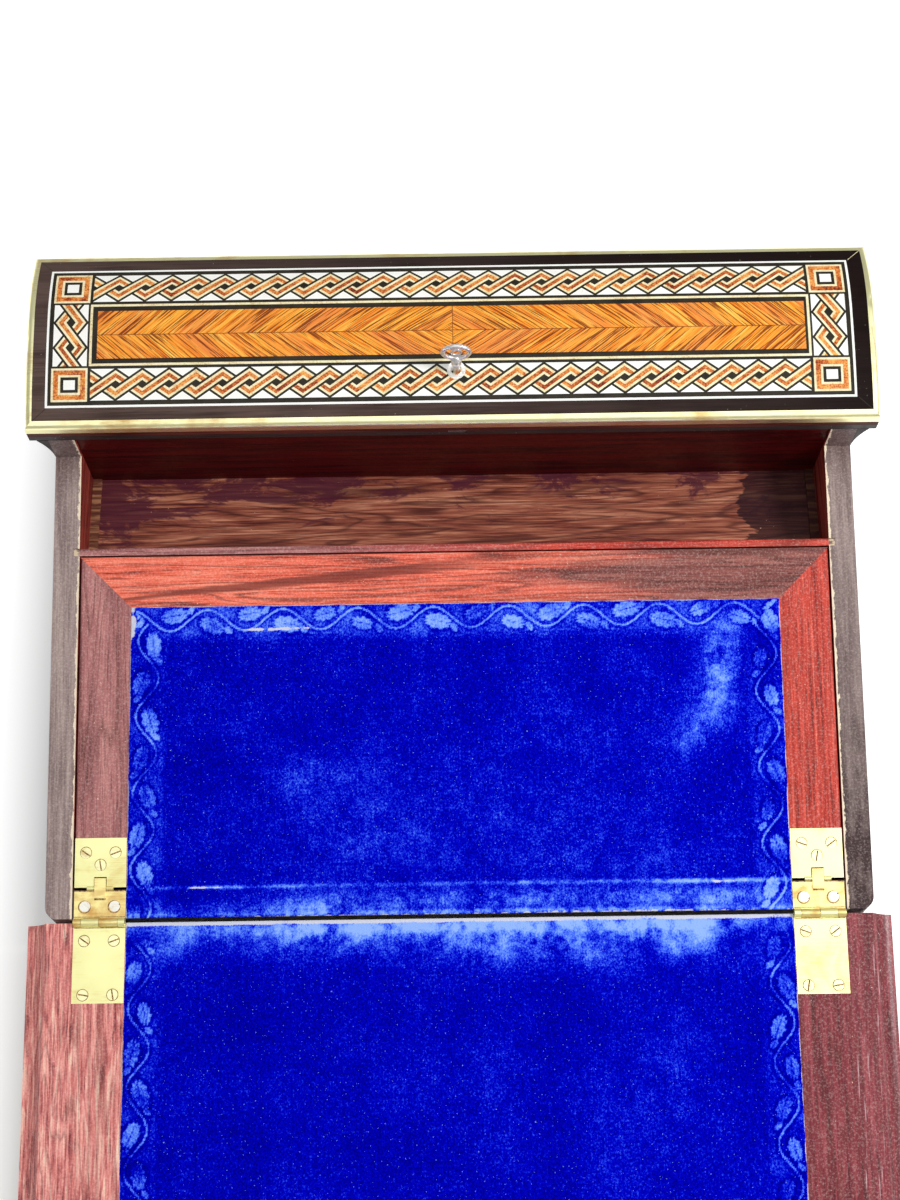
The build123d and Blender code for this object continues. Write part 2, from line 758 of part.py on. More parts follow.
lower_leaf_n = flap_n0 + leaf_thickness
lower_leaf = slope_block(
    hinge_x0, hinge_x1, fold_d, fold_d + lower_leaf_length, flap_n0, lower_leaf_n
)
for x0, x1 in knuckle_spans(0):
    lower_leaf = lower_leaf - slope_rod(
        fold_room, x0 - knuckle_slit, x1 + knuckle_slit, fold_d, fold_n
    )
for x0, x1 in knuckle_spans(1):
    lower_leaf = lower_leaf + slope_rod(knuckle_radius, x0, x1, fold_d, fold_n)
lower_leaf = lower_leaf - slope_rod(
    knuckle_pin_radius + running_clearance, hinge_x0 - 1, hinge_x1 + 1, fold_d, fold_n
)
lower_screw_places = [
    (hinge_mid + side * screw_offset, fold_d + row) for row in lower_screw_rows for side in (-1, 1)
]
under_face = slope_location * Pos(0, 0, flap_n0) * Rot(180, 0, 0)
turned_places = [(x, -d) for x, d in lower_screw_places]
lower_seats = seats_at(under_face, turned_places)
lower_bed = slope_block(
    hinge_x0, hinge_x1, fold_d, fold_d + lower_leaf_length, flap_n0 - 1, lower_leaf_n
)
for cutter in [lower_bed, fold_seat, *lower_seats]:
    lower_strip = lower_strip - cutter
for seat in lower_seats:
    lower_leaf = lower_leaf - seat
side_seats = [fold_seat, *lower_seats]
for cutter in side_seats:
    hinge_rail = hinge_rail - cutter - mirrored(cutter)

# ---- rear lid ---------------------------------------------------------------------------------------
front_arc_y = riser_y + lid_front_radius * sin(radians(lid_front_slope))
front_arc_z = lid_front_z - lid_front_radius * cos(radians(lid_front_slope))
change_slope = asin((front_arc_y - back_y + lid_back_arc_depth) / lid_front_radius)
back_arc_y = front_arc_y - (lid_front_radius - lid_back_radius) * sin(change_slope)
back_arc_z = front_arc_z + (lid_front_radius - lid_back_radius) * cos(change_slope)


def front_arc(y, drop):
    return front_arc_z + sqrt((lid_front_radius - drop) ** 2 - (y - front_arc_y) ** 2)


def back_arc(y, drop):
    return back_arc_z + sqrt((lid_back_radius - drop) ** 2 - (y - back_arc_y) ** 2)


def under_top(drop):
    """Everything below the lid's curved top, lowered by a drop, across the whole lid."""
    change_y = front_arc_y - (lid_front_radius - drop) * sin(change_slope)
    a = (riser_y, front_arc(riser_y, drop))
    b = (change_y, front_arc(change_y, drop))
    c = (back_y, back_arc(back_y, drop))
    ab = ((a[0] + b[0]) / 2, front_arc((a[0] + b[0]) / 2, drop))
    bc = ((b[0] + c[0]) / 2, back_arc((b[0] + c[0]) / 2, drop))
    outline = [
        Plane.YZ * Line((back_y, lid_under), (riser_y, lid_under)),
        Plane.YZ * Line((riser_y, lid_under), a),
        Plane.YZ * ThreePointArc(a, ab, b),
        Plane.YZ * ThreePointArc(b, bc, c),
        Plane.YZ * Line(c, (back_y, lid_under)),
    ]
    return Pos(-lid_x, 0, 0) * extrude(make_face(outline), amount=2 * lid_x, dir=(1, 0, 0))


lid_top_z = lid_front_z + lid_board_thickness * 4
brass_bed = under_top(brass_height)
board_under = under_top(veneer_thickness + lid_board_thickness)
board_top = under_top(veneer_thickness)
lid_whole = under_top(0)
lid_inside = block(
    -lid_x + brass_width,
    lid_x - brass_width,
    riser_y + brass_width,
    back_y - brass_width,
    lid_under,
    lid_top_z,
)
lid_board = (brass_bed - board_under) + ((board_top - brass_bed) & lid_inside)
lid_marquetry = (lid_whole - board_top) & lid_inside
front_rail_y = riser_y + lid_front_rail
back_rail_y = back_y - lid_back_rail
lid_front = board_under & block(-lid_x, lid_x, riser_y, front_rail_y, lid_under, lid_top_z)
lid_back = board_under & block(-lid_x, lid_x, back_rail_y, back_y, lid_under, lid_top_z)
lid_end = board_under & block(
    lid_x - lid_end_rail, lid_x, front_rail_y, back_rail_y, lid_under, lid_top_z
)

lid_brass = lid_whole - brass_bed
plan_place = Location((0, 0, 0))
front_region = plan(
    [
        (-lid_x - beyond, riser_y - beyond),
        (-lid_x + brass_width, riser_y + brass_width),
        (lid_x - brass_width, riser_y + brass_width),
        (lid_x + beyond, riser_y - beyond),
    ],
    (lid_under, lid_top_z),
    plan_place,
)
back_region = plan(
    [
        (-lid_x - beyond, back_y + beyond),
        (-lid_x + brass_width, back_y - brass_width),
        (lid_x - brass_width, back_y - brass_width),
        (lid_x + beyond, back_y + beyond),
    ],
    (lid_under, lid_top_z),
    plan_place,
)
lid_brass_front = lid_brass & block(
    -lid_x, lid_x, riser_y, riser_y + brass_width, lid_under, lid_top_z
)
lid_brass_front = fillet(edge_near(lid_brass_front, (0, riser_y, lid_front_z)), brass_radius)
lid_brass_front = lid_brass_front & front_region
back_edge_z = back_arc(back_y, 0)
lid_brass_back = lid_brass & block(
    -lid_x, lid_x, back_y - brass_width, back_y, lid_under, lid_top_z
)
lid_brass_back = fillet(edge_near(lid_brass_back, (0, back_y, back_edge_z)), brass_radius)
lid_brass_back = lid_brass_back & back_region
lid_brass_end = lid_brass & block(lid_x - brass_width, lid_x, riser_y, back_y, lid_under, lid_top_z)
top_edges = [
    e
    for e in lid_brass_end.edges()
    if e.bounding_box().min.X > lid_x - 0.01
    and abs(e.center().Z - (front_arc if e.center().Y < back_arc_y else back_arc)(e.center().Y, 0)) < 1.0
    and e.length > brass_width * 1.5
]
lid_brass_end = fillet(top_edges, brass_radius)
lid_brass_end = lid_brass_end - front_region - back_region

# ---- lid hinges -----------------------------------------------------------------------------------------
lid_axis_y = back_y + lid_axis_lead
lid_axis_z = side_top + lid_gap / 2
lid_hinge_x0 = lid_hinge_place - lid_hinge_length / 2
lid_hinge_x1 = lid_hinge_place + lid_hinge_length / 2
middle_x0 = lid_hinge_place - lid_knuckle_middle / 2
middle_x1 = lid_hinge_place + lid_knuckle_middle / 2
leaf_front_y = back_y - lid_hinge_leaf_depth
outer_spans = (
    (lid_hinge_x0, middle_x0 - knuckle_slit),
    (middle_x1 + knuckle_slit, lid_hinge_x1),
)
lower_plate = block(
    lid_hinge_x0, lid_hinge_x1, leaf_front_y, back_y, side_top - leaf_thickness, side_top
)
box_leaf = lower_plate
for x0, x1 in outer_spans:
    neck = block(x0, x1, back_y, lid_axis_y, side_top - leaf_thickness, side_top)
    box_leaf = box_leaf + neck + rod(lid_knuckle_radius, x0, x1, lid_axis_y, lid_axis_z)
box_leaf = box_leaf - rod(
    knuckle_pin_radius, lid_hinge_x0 - 1, lid_hinge_x1 + 1, lid_axis_y, lid_axis_z
)
upper_plate = block(
    lid_hinge_x0, lid_hinge_x1, leaf_front_y, back_y, lid_under, lid_under + leaf_thickness
)
lid_neck = block(middle_x0, middle_x1, back_y, lid_axis_y, lid_under, lid_under + leaf_thickness)
lid_leaf = upper_plate + lid_neck
lid_leaf = lid_leaf + rod(lid_knuckle_radius, middle_x0, middle_x1, lid_axis_y, lid_axis_z)
lid_leaf = lid_leaf - rod(
    knuckle_pin_radius + running_clearance, middle_x0 - 1, middle_x1 + 1, lid_axis_y, lid_axis_z
)
lid_pin = rod(knuckle_pin_radius, lid_hinge_x0, lid_hinge_x1, lid_axis_y, lid_axis_z)
lid_screw_y = (leaf_front_y + back_y) / 2
lid_screw_places = [
    (lid_hinge_place - lid_screw_offset, lid_screw_y),
    (lid_hinge_place + lid_screw_offset, lid_screw_y),
]
box_leaf_place = Location((0, 0, side_top - head_proud))
lid_leaf_place = Pos(0, 0, lid_under + head_proud) * Rot(180, 0, 0)
turned_lid_places = [(x, -y) for x, y in lid_screw_places]
box_leaf_screws = screws_at(box_leaf_place, lid_screw_places, lid_screw_length)
lid_leaf_screws = screws_at(lid_leaf_place, turned_lid_places, lid_screw_length)
for fastener in box_leaf_screws:
    box_leaf = box_leaf - fastener
for fastener in lid_leaf_screws:
    lid_leaf = lid_leaf - fastener
for cutter in [lower_plate, *box_leaf_screws]:
    back_board = back_board - cutter - mirrored(cutter)
for cutter in [upper_plate, *lid_leaf_screws]:
    lid_back = lid_back - cutter - mirrored(cutter)
    lid_board = lid_board - cutter - mirrored(cutter)

# ---- lock, key and strike ----------------------------------------------------------------------------------
key_y = riser_y + key_setback
at_lock = Pos(lock_offset, 0, 0)
key_surface_z = front_arc(key_y, 0)
case_z0 = lid_under + lock_wall / 2
case_z1 = case_z0 + lock_height
case_y1 = key_y + lock_back_reach
lock_case = block(-lock_half_width, lock_half_width, front_rail_y, case_y1, case_z0, case_z1)
lock_case = lock_case - block(
    -lock_half_width + lock_wall,
    lock_half_width - lock_wall,
    front_rail_y + lock_wall,
    case_y1 - lock_wall,
    case_z0 + lock_wall,
    case_z1 - lock_wall,
)
bolt_z0 = case_z0 + lock_wall + bolt_slot_gap
bolt_z1 = bolt_z0 + bolt_thickness
bolt_slot = block(
    -bolt_head_width / 2 - bolt_slot_gap,
    bolt_head_width / 2 + bolt_slot_gap,
    riser_y,
    front_rail_y + 2 * lock_wall,
    bolt_z0 - bolt_slot_gap,
    bolt_z1 + bolt_slot_gap,
)
bolt_slot = at_lock * bolt_slot
lock_case = at_lock * lock_case - bolt_slot
lid_front = lid_front - bolt_slot
lid_board = lid_board - bolt_slot
key_hole = at_lock * Pos(0, key_y, case_z1) * Cylinder(key_shank_radius + running_clearance, 4 * lock_height)
lock_case = lock_case - key_hole
key_passage = at_lock * Pos(0, key_y, key_surface_z) * Cylinder(
    key_shank_radius + 2 * wood_clearance, 8 * lid_board_thickness
)
lid_board = lid_board - key_passage
lid_marquetry = lid_marquetry - key_passage

tail_y0 = key_y - bolt_window_front - 1.5
bolt = block(
    -bolt_head_width / 2, bolt_head_width / 2, riser_y + bolt_recess, tail_y0 + 1, bolt_z0, bolt_z1
)
bolt = bolt + block(
    -bolt_tail_width / 2,
    bolt_tail_width / 2,
    tail_y0,
    key_y + bolt_window_back + 1.5,
    bolt_z0,
    bolt_z1,
)
bolt = bolt - block(
    -bolt_window_half_width,
    bolt_window_half_width,
    key_y - bolt_window_front,
    key_y + bolt_window_back,
    bolt_z0 - 1,
    bolt_z1 + 1,
)
bolt = at_lock * bolt

key_top = key_surface_z + key_top_above_lid
bow_z = key_top - key_bow_height / 2
shank_z0 = case_z0
shank_z1 = key_top - key_bow_height + key_bow_bar / 2
key = Pos(0, key_y, (shank_z0 + shank_z1) / 2) * Cylinder(key_shank_radius, shank_z1 - shank_z0)
bow_plane = Plane(origin=(0, key_y + key_bow_thickness / 2, bow_z), x_dir=(1, 0, 0), z_dir=(0, -1, 0))
bow_face = Ellipse(key_bow_width / 2, key_bow_height / 2) - Ellipse(
    key_bow_width / 2 - key_bow_bar, key_bow_height / 2 - key_bow_bar
)
bow = extrude(bow_plane * bow_face, amount=key_bow_thickness, dir=(0, -1, 0))
key_collar = Pos(0, key_y, shank_z1 - 1) * Cylinder(key_shank_radius + 0.9, 1.4)
key_bit = block(0, key_bit_reach, key_y - key_bit_width / 2, key_y + key_bit_width / 2, bolt_z0, bolt_z1)
key = at_lock * (key + bow + key_collar + key_bit)

tilt = degrees(asin((front_arc_y - key_y) / lid_front_radius))
escutcheon_place = at_lock * Pos(0, key_y, key_surface_z) * Rot(tilt, 0, 0)
escutcheon_height = escutcheon_proud + escutcheon_seat
escutcheon = escutcheon_place * Pos(0, 0, escutcheon_proud - escutcheon_height / 2) * Cylinder(
    escutcheon_radius, escutcheon_height
)
lid_board = lid_board - escutcheon
lid_marquetry = lid_marquetry - escutcheon
escutcheon = escutcheon - key_passage

strike_z = (bolt_z0 + bolt_z1) / 2
strike_y = riser_y - flap_end_gap
strike_bed = block(
    -strike_length / 2,
    strike_length / 2,
    strike_y - strike_thickness,
    strike_y + 1,
    strike_z - strike_height / 2,
    strike_z + strike_height / 2,
)
strike_hole = block(
    -bolt_head_width / 2 - 2 * bolt_slot_gap,
    bolt_head_width / 2 + 2 * bolt_slot_gap,
    strike_y - strike_mortise_depth,
    strike_y + 1,
    bolt_z0 - 2 * bolt_slot_gap,
    bolt_z1 + 2 * bolt_slot_gap,
)
strike_bed = at_lock * strike_bed
strike_hole = at_lock * strike_hole
strike = (strike_bed & flap_body) - strike_hole
lower_end_rail = lower_end_rail - strike_bed - strike_hole
lower_board = lower_board - strike_bed - strike_hole


def opened(part):
    """A piece of the lower flap, swung from shut to open."""
    return part.rotate(fold_axis, open_swing)


# ---- files ----------------------------------------------------------------------------------------------------
os.makedirs("parts", exist_ok=True)

save("base_board", base)
save_sides("side", side)
save("front_board", front_board)
save("back_board", back_board)
save_pair("under_lid_mouldings", moulding)
save("tray_floor", tray_floor)
save("pen_tray_back_wall", tray_back_wall)
save("flap_rest_rail", rail)
save_pair("tray_end_strips", end_strip)
save_pair("flap_ledges", ledge)
save("ink_dividers", divider, mirrored(divider), spacer, mirrored(spacer))
save_pair("ink_bottles", bottle)
save_pair("inkwell_collars", collar)
save_sides("inkwell_cap", cap)

save("front_board_velvet", front_velvet)
save_pair("front_hinge_leaves", fixed_leaf)
front_screws = screws_at(slope_location, fixed_screw_places)
box_screws = front_screws + box_leaf_screws
save("box_hinge_screws", *box_screws, *[mirrored(s) for s in box_screws])
pins = [fold_pin, pivot_pin, lid_pin]
save("hinge_pins", *pins, *[mirrored(pin) for pin in pins])

save("upper_panel", upper_panel)
save("upper_velvet", upper_velvet)
save_sides("upper_stile", stile)
save("upper_top_rail", upper_top_rail)
save_pair("upper_hinge_leaves", upper_leaf)
upper_screws = screws_at(slope_location, upper_screw_places)
save("upper_hinge_screws", *upper_screws, *[mirrored(s) for s in upper_screws])

save("lower_panel", opened(lower_panel))
save("lower_velvet", opened(lower_velvet))
save_sides("lower_strip", opened(lower_strip))
save("lower_inner_rail", opened(lower_inner_rail))
save_sides("lower_side", opened(lower_side.solids().sort_by(Axis.X)[-1]))
save("lower_end_rail", opened(lower_end_rail))
save("lower_hinge_rail", opened(hinge_rail))
save("lower_outer_board", opened(lower_board))
save("lower_marquetry", opened(lower_marquetry))
save("lower_brass_near", opened(lower_brass_near))
save("lower_brass_far", opened(lower_brass_far))
save_pair("lower_brass_sides", opened(lower_brass_side))
save_pair("lower_hinge_leaves", opened(lower_leaf))
lower_screws = [opened(s) for s in screws_at(under_face, turned_places)]
save("lower_hinge_screws", *lower_screws, *[mirrored(s) for s in lower_screws])
save("strike_plate", opened(strike))

save("lid_board", lid_board)
save("lid_marquetry", lid_marquetry)
save("lid_front_rail", lid_front)
save("lid_back_rail", lid_back)
save_pair("lid_end_rails", lid_end)
save("lid_brass_front", lid_brass_front)
save("lid_brass_back", lid_brass_back)
save_pair("lid_brass_ends", lid_brass_end)
save_pair("lid_hinge_box_leaves", box_leaf)
save_pair("lid_hinge_lid_leaves", lid_leaf)
save("lid_hinge_screws", *lid_leaf_screws, *[mirrored(s) for s in lid_leaf_screws])

save("lock_case", lock_case)
save("lock_bolt", bolt)
save("key", key)
save("keyhole_escutcheon", escutcheon)

print("fold axis y, z", round(fold_y, 3), round(fold_z, 3))
print("open swing, open slope", round(open_swing, 3), round(open_slope, 3))
print("pivot", slope_point(0, pivot_d, pivot_n))
print("lid axis", lid_axis_y, lid_axis_z)
print("cap axis", ink_x, cap_axis_y, cap_axis_z)
print("key", lock_offset, key_y, key_surface_z)
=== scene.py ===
# %% [markdown]
# # A writing slope, standing open
# This file dresses the CAD model of an old portable writing slope. The CAD model gives every piece its
# place and size, and Blender adds the finishes: ebonised wood, rosewood, inlay, brass, nickel and velvet.
# Everything is in metres, and each piece keeps its object at the origin with its place in its mesh, so
# that a pattern on Object coordinates stays where it is.

import math
import random
from functools import partialmethod

import bmesh
import bpy
import numpy as np
from mathutils import Matrix, Vector, noise


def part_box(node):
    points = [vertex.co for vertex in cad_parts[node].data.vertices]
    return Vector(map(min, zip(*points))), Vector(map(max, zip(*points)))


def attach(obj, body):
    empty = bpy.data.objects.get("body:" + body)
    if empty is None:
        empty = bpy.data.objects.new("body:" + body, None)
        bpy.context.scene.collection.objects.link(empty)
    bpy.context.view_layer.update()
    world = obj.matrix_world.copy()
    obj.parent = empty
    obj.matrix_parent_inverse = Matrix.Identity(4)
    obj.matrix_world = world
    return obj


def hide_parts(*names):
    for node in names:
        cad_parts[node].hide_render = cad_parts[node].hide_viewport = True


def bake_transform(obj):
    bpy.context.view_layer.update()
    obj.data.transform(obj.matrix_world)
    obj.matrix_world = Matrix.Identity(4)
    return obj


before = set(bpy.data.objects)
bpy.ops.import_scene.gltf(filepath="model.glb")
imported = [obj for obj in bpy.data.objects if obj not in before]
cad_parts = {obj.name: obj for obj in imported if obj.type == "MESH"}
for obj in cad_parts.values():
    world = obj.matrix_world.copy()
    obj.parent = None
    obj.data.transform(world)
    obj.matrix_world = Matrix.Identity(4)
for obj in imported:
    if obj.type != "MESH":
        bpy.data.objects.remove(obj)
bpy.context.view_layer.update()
MM = 0.001

# %% [markdown]
# ## The camera
# The photograph looks down on the slope from in front and above, 22 degrees off the vertical. A pinhole
# camera was fitted to the edges of the box, which gave its place, its tilt and its slight turn.
# A lens of 54 mm on a sensor 36 mm long covers the same angle.

# %% Camera
CAMERA_PLACE = Vector((0.06, -298.86, 817.29)) * MM
CAMERA_TILT, CAMERA_TURN, CAMERA_ROLL = (math.radians(a) for a in (21.72, 0.43, -1.21))

camera_data = bpy.data.cameras.new("camera")
camera_data.lens = 54.0
camera_data.sensor_width = 36.0
camera = bpy.data.objects.new("camera", camera_data)
camera.matrix_world = (
    Matrix.Translation(CAMERA_PLACE)
    @ Matrix.Rotation(CAMERA_TURN, 4, "Z")
    @ Matrix.Rotation(CAMERA_TILT, 4, "X")
    @ Matrix.Rotation(CAMERA_ROLL, 4, "Z")
)
bpy.context.scene.collection.objects.link(camera)
bpy.context.scene.camera = camera
print("camera at", tuple(round(v, 4) for v in camera.location))

# %% [markdown]
# ## Floor and light
# The slope stands on a plain white floor. Camera rays see the floor a little brighter than it is lit, so
# the page stays white and the shadow stays soft. A pale world lights everything evenly, and one broad
# lamp from the right, a little in front, casts a soft shadow on the left and shades the right end of the
# pen tray, as the photograph shows; painted shadow deepens both. A wide pale panel overhead is what the brass
# reflects.

# %% Scene settings, world and lamps
scene = bpy.context.scene
scene.view_settings.view_transform = "Standard"

world = bpy.data.worlds.new("studio")
world.use_nodes = True
scene.world = world
sky = world.node_tree.nodes["Background"]
sky.inputs["Color"].default_value = (1.0, 1.0, 1.0, 1.0)
sky.inputs["Strength"].default_value = 0.42


def soft_lamp(name, place, target, width, height, power):
    """A rectangular area lamp at a place, turned to a target. Sizes in metres, power in watts."""
    data = bpy.data.lights.new(name, "AREA")
    data.shape = "RECTANGLE"
    data.size, data.size_y, data.energy = width, height, power
    lamp = bpy.data.objects.new(name, data)
    lamp.location = place
    lamp.rotation_mode = "QUATERNION"
    lamp.rotation_quaternion = (Vector(target) - Vector(place)).to_track_quat("-Z", "Y")
    lamp.visible_camera = False
    scene.collection.objects.link(lamp)


soft_lamp("window", (1.05, -0.22, 1.1), (0, 0, 0.05), 0.26, 0.34, 13.0)
soft_lamp("ceiling", (0.0, -0.2, 1.6), (0, -0.2, 0.05), 1.5, 1.2, 6.6)
print("world and lamps set")

# %% [markdown]
# ## Small helpers for materials
# Every finish is a node material. To keep the recipes readable, what a node gives is wrapped as a value that
# can be added, multiplied, compared, ramped and mixed like a number. The finish itself starts the material
# and gives the piece's own coordinates in millimetres, turned and stretched as the grain needs.

# %% Material helpers
NO_TURN = NO_MOVE = (0, 0, 0)
SRGB_KNEE = 0.04045
MIX_FACTOR, MIX_FIRST, MIX_SECOND, MIX_COLOUR_OUT = 0, 6, 7, 2


def linear(*colour):
    """A colour given as 0 to 255 per channel, as Blender's shaders want it."""
    parts = (value / 255.0 for value in colour)
    return (*(v / 12.92 if v <= SRGB_KNEE else ((v + 0.055) / 1.055) ** 2.4 for v in parts), 1.0)


class Value:
    """What one node gives at each point of a surface: a number, a colour or a place."""

    def __init__(self, finish, socket):
        self.finish, self.socket = finish, socket

    def math(self, operation, *others):
        return self.finish.add("ShaderNodeMath", dict(enumerate((self, *others))), operation=operation)

    __add__ = partialmethod(math, "ADD")
    __sub__ = partialmethod(math, "SUBTRACT")
    __mul__ = partialmethod(math, "MULTIPLY")
    __gt__ = partialmethod(math, "GREATER_THAN")
    __abs__ = partialmethod(math, "ABSOLUTE")
    larger = partialmethod(math, "MAXIMUM")
    smaller = partialmethod(math, "MINIMUM")

    def __rsub__(self, other):
        return self * -1.0 + other

    def axis(self, letter):
        return self.finish.add("ShaderNodeSeparateXYZ", {0: self}, letter)

    def ramp(self, *stops):
        """A ramp. Each stop is a position and a grey from 0 to 1, or a colour of 0 to 255 per channel."""
        result = self.finish.add("ShaderNodeValToRGB", {"Fac": self})
        points = result.socket.node.color_ramp.elements
        while len(points) < len(stops):
            points.new(0.5)
        for point, (where, *colour) in zip(points, stops):
            point.position = where
            point.color = linear(*colour) if len(colour) == 3 else (*colour * 3, 1.0)
        return result

    def mix(self, first, second):
        """The first colour where this value is 0, the second where it is 1."""
        inputs = {MIX_FACTOR: self, MIX_FIRST: first, MIX_SECOND: second}
        return self.finish.add("ShaderNodeMix", inputs, MIX_COLOUR_OUT, data_type="RGBA")


class Finish:
    """One node material with a Principled shader at its end. Its constants are the shader's inputs."""

    def __init__(self, name, roughness=0.5, specular=0.2, **constants):
        self.material = bpy.data.materials.new(name)
        self.material.use_nodes = True
        self.tree = self.material.node_tree
        self.shader = self.tree.nodes["Principled BSDF"]
        self.set("Roughness", roughness)
        self.set("Specular IOR Level", specular)
        for key, value in constants.items():
            self.set(key.replace("_", " ").title(), value)

    def set(self, socket, value):
        self.feed(self.shader.inputs[socket], value)

    def feed(self, socket, value):
        """Link or set an input. Three numbers for a colour are 0 to 255 per channel."""
        if isinstance(value, Value):
            self.tree.links.new(value.socket, socket)
        else:
            short = socket.type == "RGBA" and len(value) == 3
            socket.default_value = linear(*value) if short else value

    def add(self, kind, inputs=None, out=0, **settings):
        """A node of one kind, with its settings and its inputs by name or number. Returns one output."""
        node = self.tree.nodes.new(kind)
        for key, value in settings.items():
            setattr(node, key, value)
        for key, value in (inputs or {}).items():
            self.feed(node.inputs[key], value)
        return Value(self, node.outputs[out])

    def place(self, stretch=(1, 1, 1), turn=NO_TURN, move=NO_MOVE):
        """Object coordinates in millimetres: turned first, then stretched, then moved."""
        source = self.add("ShaderNodeTexCoord", out="Object")
        turned = self.add("ShaderNodeMapping", {"Vector": source, "Rotation": turn, "Scale": (1 / MM,) * 3})
        return self.add("ShaderNodeMapping", {"Vector": turned, "Location": move, "Scale": stretch})

    def noise(self, scale, detail=3.0, rough=0.55, bend=0.0, turn=NO_TURN, move=NO_MOVE, at=None):
        """Noise on the piece's place. Three numbers as the scale stretch it along the turned axes."""
        stretched = not isinstance(scale, float)
        if at is None:
            at = self.place(scale if stretched else (1, 1, 1), turn, move)
        inputs = {"Vector": at, "Scale": 1.0 if stretched else scale, "Detail": detail, "Roughness": rough}
        return self.add("ShaderNodeTexNoise", inputs | {"Distortion": bend})

    def polish(self, tone, pattern, low, high):
        """The colour, and a roughness that follows a pattern between two values."""
        self.set("Base Color", tone)
        self.set("Roughness", pattern.ramp((0.35, low), (0.65, high)))

    def bump(self, height, strength=0.3, distance=0.1):
        """Bump from a height, where distance is the depth in millimetres."""
        inputs = {"Height": height, "Strength": strength, "Distance": distance * MM}
        self.set("Normal", self.add("ShaderNodeBump", inputs))


def coat_node(finish, *names):
    """Give CAD nodes one finish."""
    for name in names:
        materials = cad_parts[name].data.materials
        materials.clear()
        materials.append(finish.material)


print("material helpers ready")

# %% [markdown]
# ## The floor
# A flat sheet of paper large enough to reach past the view from every side. Its colour is a plain white,
# lit like everything else, so it takes the slope's shadow. Rays from the camera, and rays that metal and
# glass send on, get a little extra light from it, which lifts the page to white. That extra fades just
# left of the box, which paints the soft grey shadow there, and comes back beyond its ends.

# %% Floor
PAGE_GLOW, RIGHT_GLOW, RAMP_REACH = 0.66, 0.62, 400.0
SHADOW_END = -150.0
PAINTED_SHADOW_FADE = [(0.48, 0.2), (0.491, 0.3), (0.501, 0.37), (0.5075, 0.42), (0.525, 0.54), (0.55, PAGE_GLOW)]

paper = Finish("paper", 0.9, 0.1)
camera_ray, glossy_ray, glass_ray = (
    paper.add("ShaderNodeLightPath", out=f"Is {kind} Ray") for kind in ("Camera", "Glossy", "Transmission")
)
seen = camera_ray.larger(glossy_ray).larger(glass_ray)
paper_x, paper_y = (paper.place().axis(letter) for letter in "XY")
# Painted shadow: the extra glow fades beside the box's left side, comes back behind the lid and in front of
# the flap, and stays full right of the box.
beside = (paper_x * (-1 / RAMP_REACH)).ramp(*PAINTED_SHADOW_FADE)
ahead = (paper_y * (1 / RAMP_REACH) + 0.5).ramp((0.79, 0.0), (0.86, 1.0))
beyond = (paper_y * (-1 / RAMP_REACH)).ramp((0.865, 0.0), (0.95, 1.0))
page = beside.larger(ahead.larger(beyond) * PAGE_GLOW).larger((paper_x > SHADOW_END) * RIGHT_GLOW)
paper.set("Base Color", paper.noise(0.004, 2.0).ramp((0.3, 232, 232, 232), (0.7, 236, 236, 236)))
paper.set("Emission Color", (1.0, 1.0, 1.0, 1.0))
paper.set("Emission Strength", seen * page)


def finish_piece(bm, name, *finishes, smooth=True):
    """Turn a bmesh, drawn in metres, into an object at the origin with its finishes."""
    mesh = bpy.data.meshes.new(name)
    bm.to_mesh(mesh)
    bm.free()
    for face in mesh.polygons:
        face.use_smooth = smooth
    for finish in finishes:
        mesh.materials.append(finish.material)
    piece = bpy.data.objects.new(name, mesh)
    scene.collection.objects.link(piece)
    return piece


sheet_mesh = bmesh.new()
bmesh.ops.create_grid(sheet_mesh, x_segments=2, y_segments=2, size=4.0)
bmesh.ops.translate(sheet_mesh, verts=sheet_mesh.verts, vec=(0, 0, -0.05 * MM))
floor = finish_piece(sheet_mesh, "paper_floor", paper, smooth=False)
print("floor laid")

# %% [markdown]
# ## Wood, in layers
# Polished wood is a base tone, broad streaks that run with the grain, short dark pores along it, and dust
# or tiny chips on top. Each layer is a noise pattern. The grain is drawn by stretching the pattern along
# one direction, so the same two helpers serve every board: one gives the tone and the relief, the other
# scatters specks.

# %% Grain and specks
def grain(f, along, stops, turn=NO_TURN, streak=0.22, length=0.012, bend=0.6):
    """Tone and pore mask of a board whose grain runs along X, Y or Z (0, 1, 2) after the turn."""
    wide, fine = [streak] * 3, [1.9] * 3
    wide[along], fine[along] = length, 0.07
    broad = f.noise(wide, 4.0, 0.62, bend, turn)
    thread = f.noise([v * 0.55 for v in fine], 4.0, 0.65, turn=turn)
    pores = f.noise(fine, 2.0, 0.5, turn=turn)
    tone = (broad * 0.9 + thread * 0.8 - 0.35).ramp(*stops)
    return tone, pores.ramp((0.58, 0.0), (0.68, 1.0))


def specks(f, tone, colour):
    """Scatter small pale specks, such as dust and tiny chips, over a tone."""
    where = f.noise(0.03, 2.0) * 0.16 + f.noise(1.0, 1.5, 0.5) - 0.08
    return where.ramp((0.76, 0.0), (0.79, 1.0)).mix(tone, colour)


def mottle(f, tone, amount=0.16):
    """Fine lighter and darker mottling over a tone, as old polish has."""
    fine = f.noise(1.1, 3.0, 0.7)
    darker = fine.ramp((0.36, amount), (0.5, 0.0)).mix(tone, (0.0, 0.0, 0.0, 1.0))
    return fine.ramp((0.5, 0.0), (0.66, amount)).mix(darker, (1.0, 0.85, 0.78, 1.0))


SLOPE, OPEN_SLOPE = math.radians(12.0), math.radians(8.961)
FOLD = Vector((0, -141.669, 58.756))
UP_SLOPE, DOWN_SLOPE = (-SLOPE, 0, 0), (-OPEN_SLOPE, 0, 0)
PALE_DUST, PORE_BROWN = (150, 138, 132), (58, 26, 24)
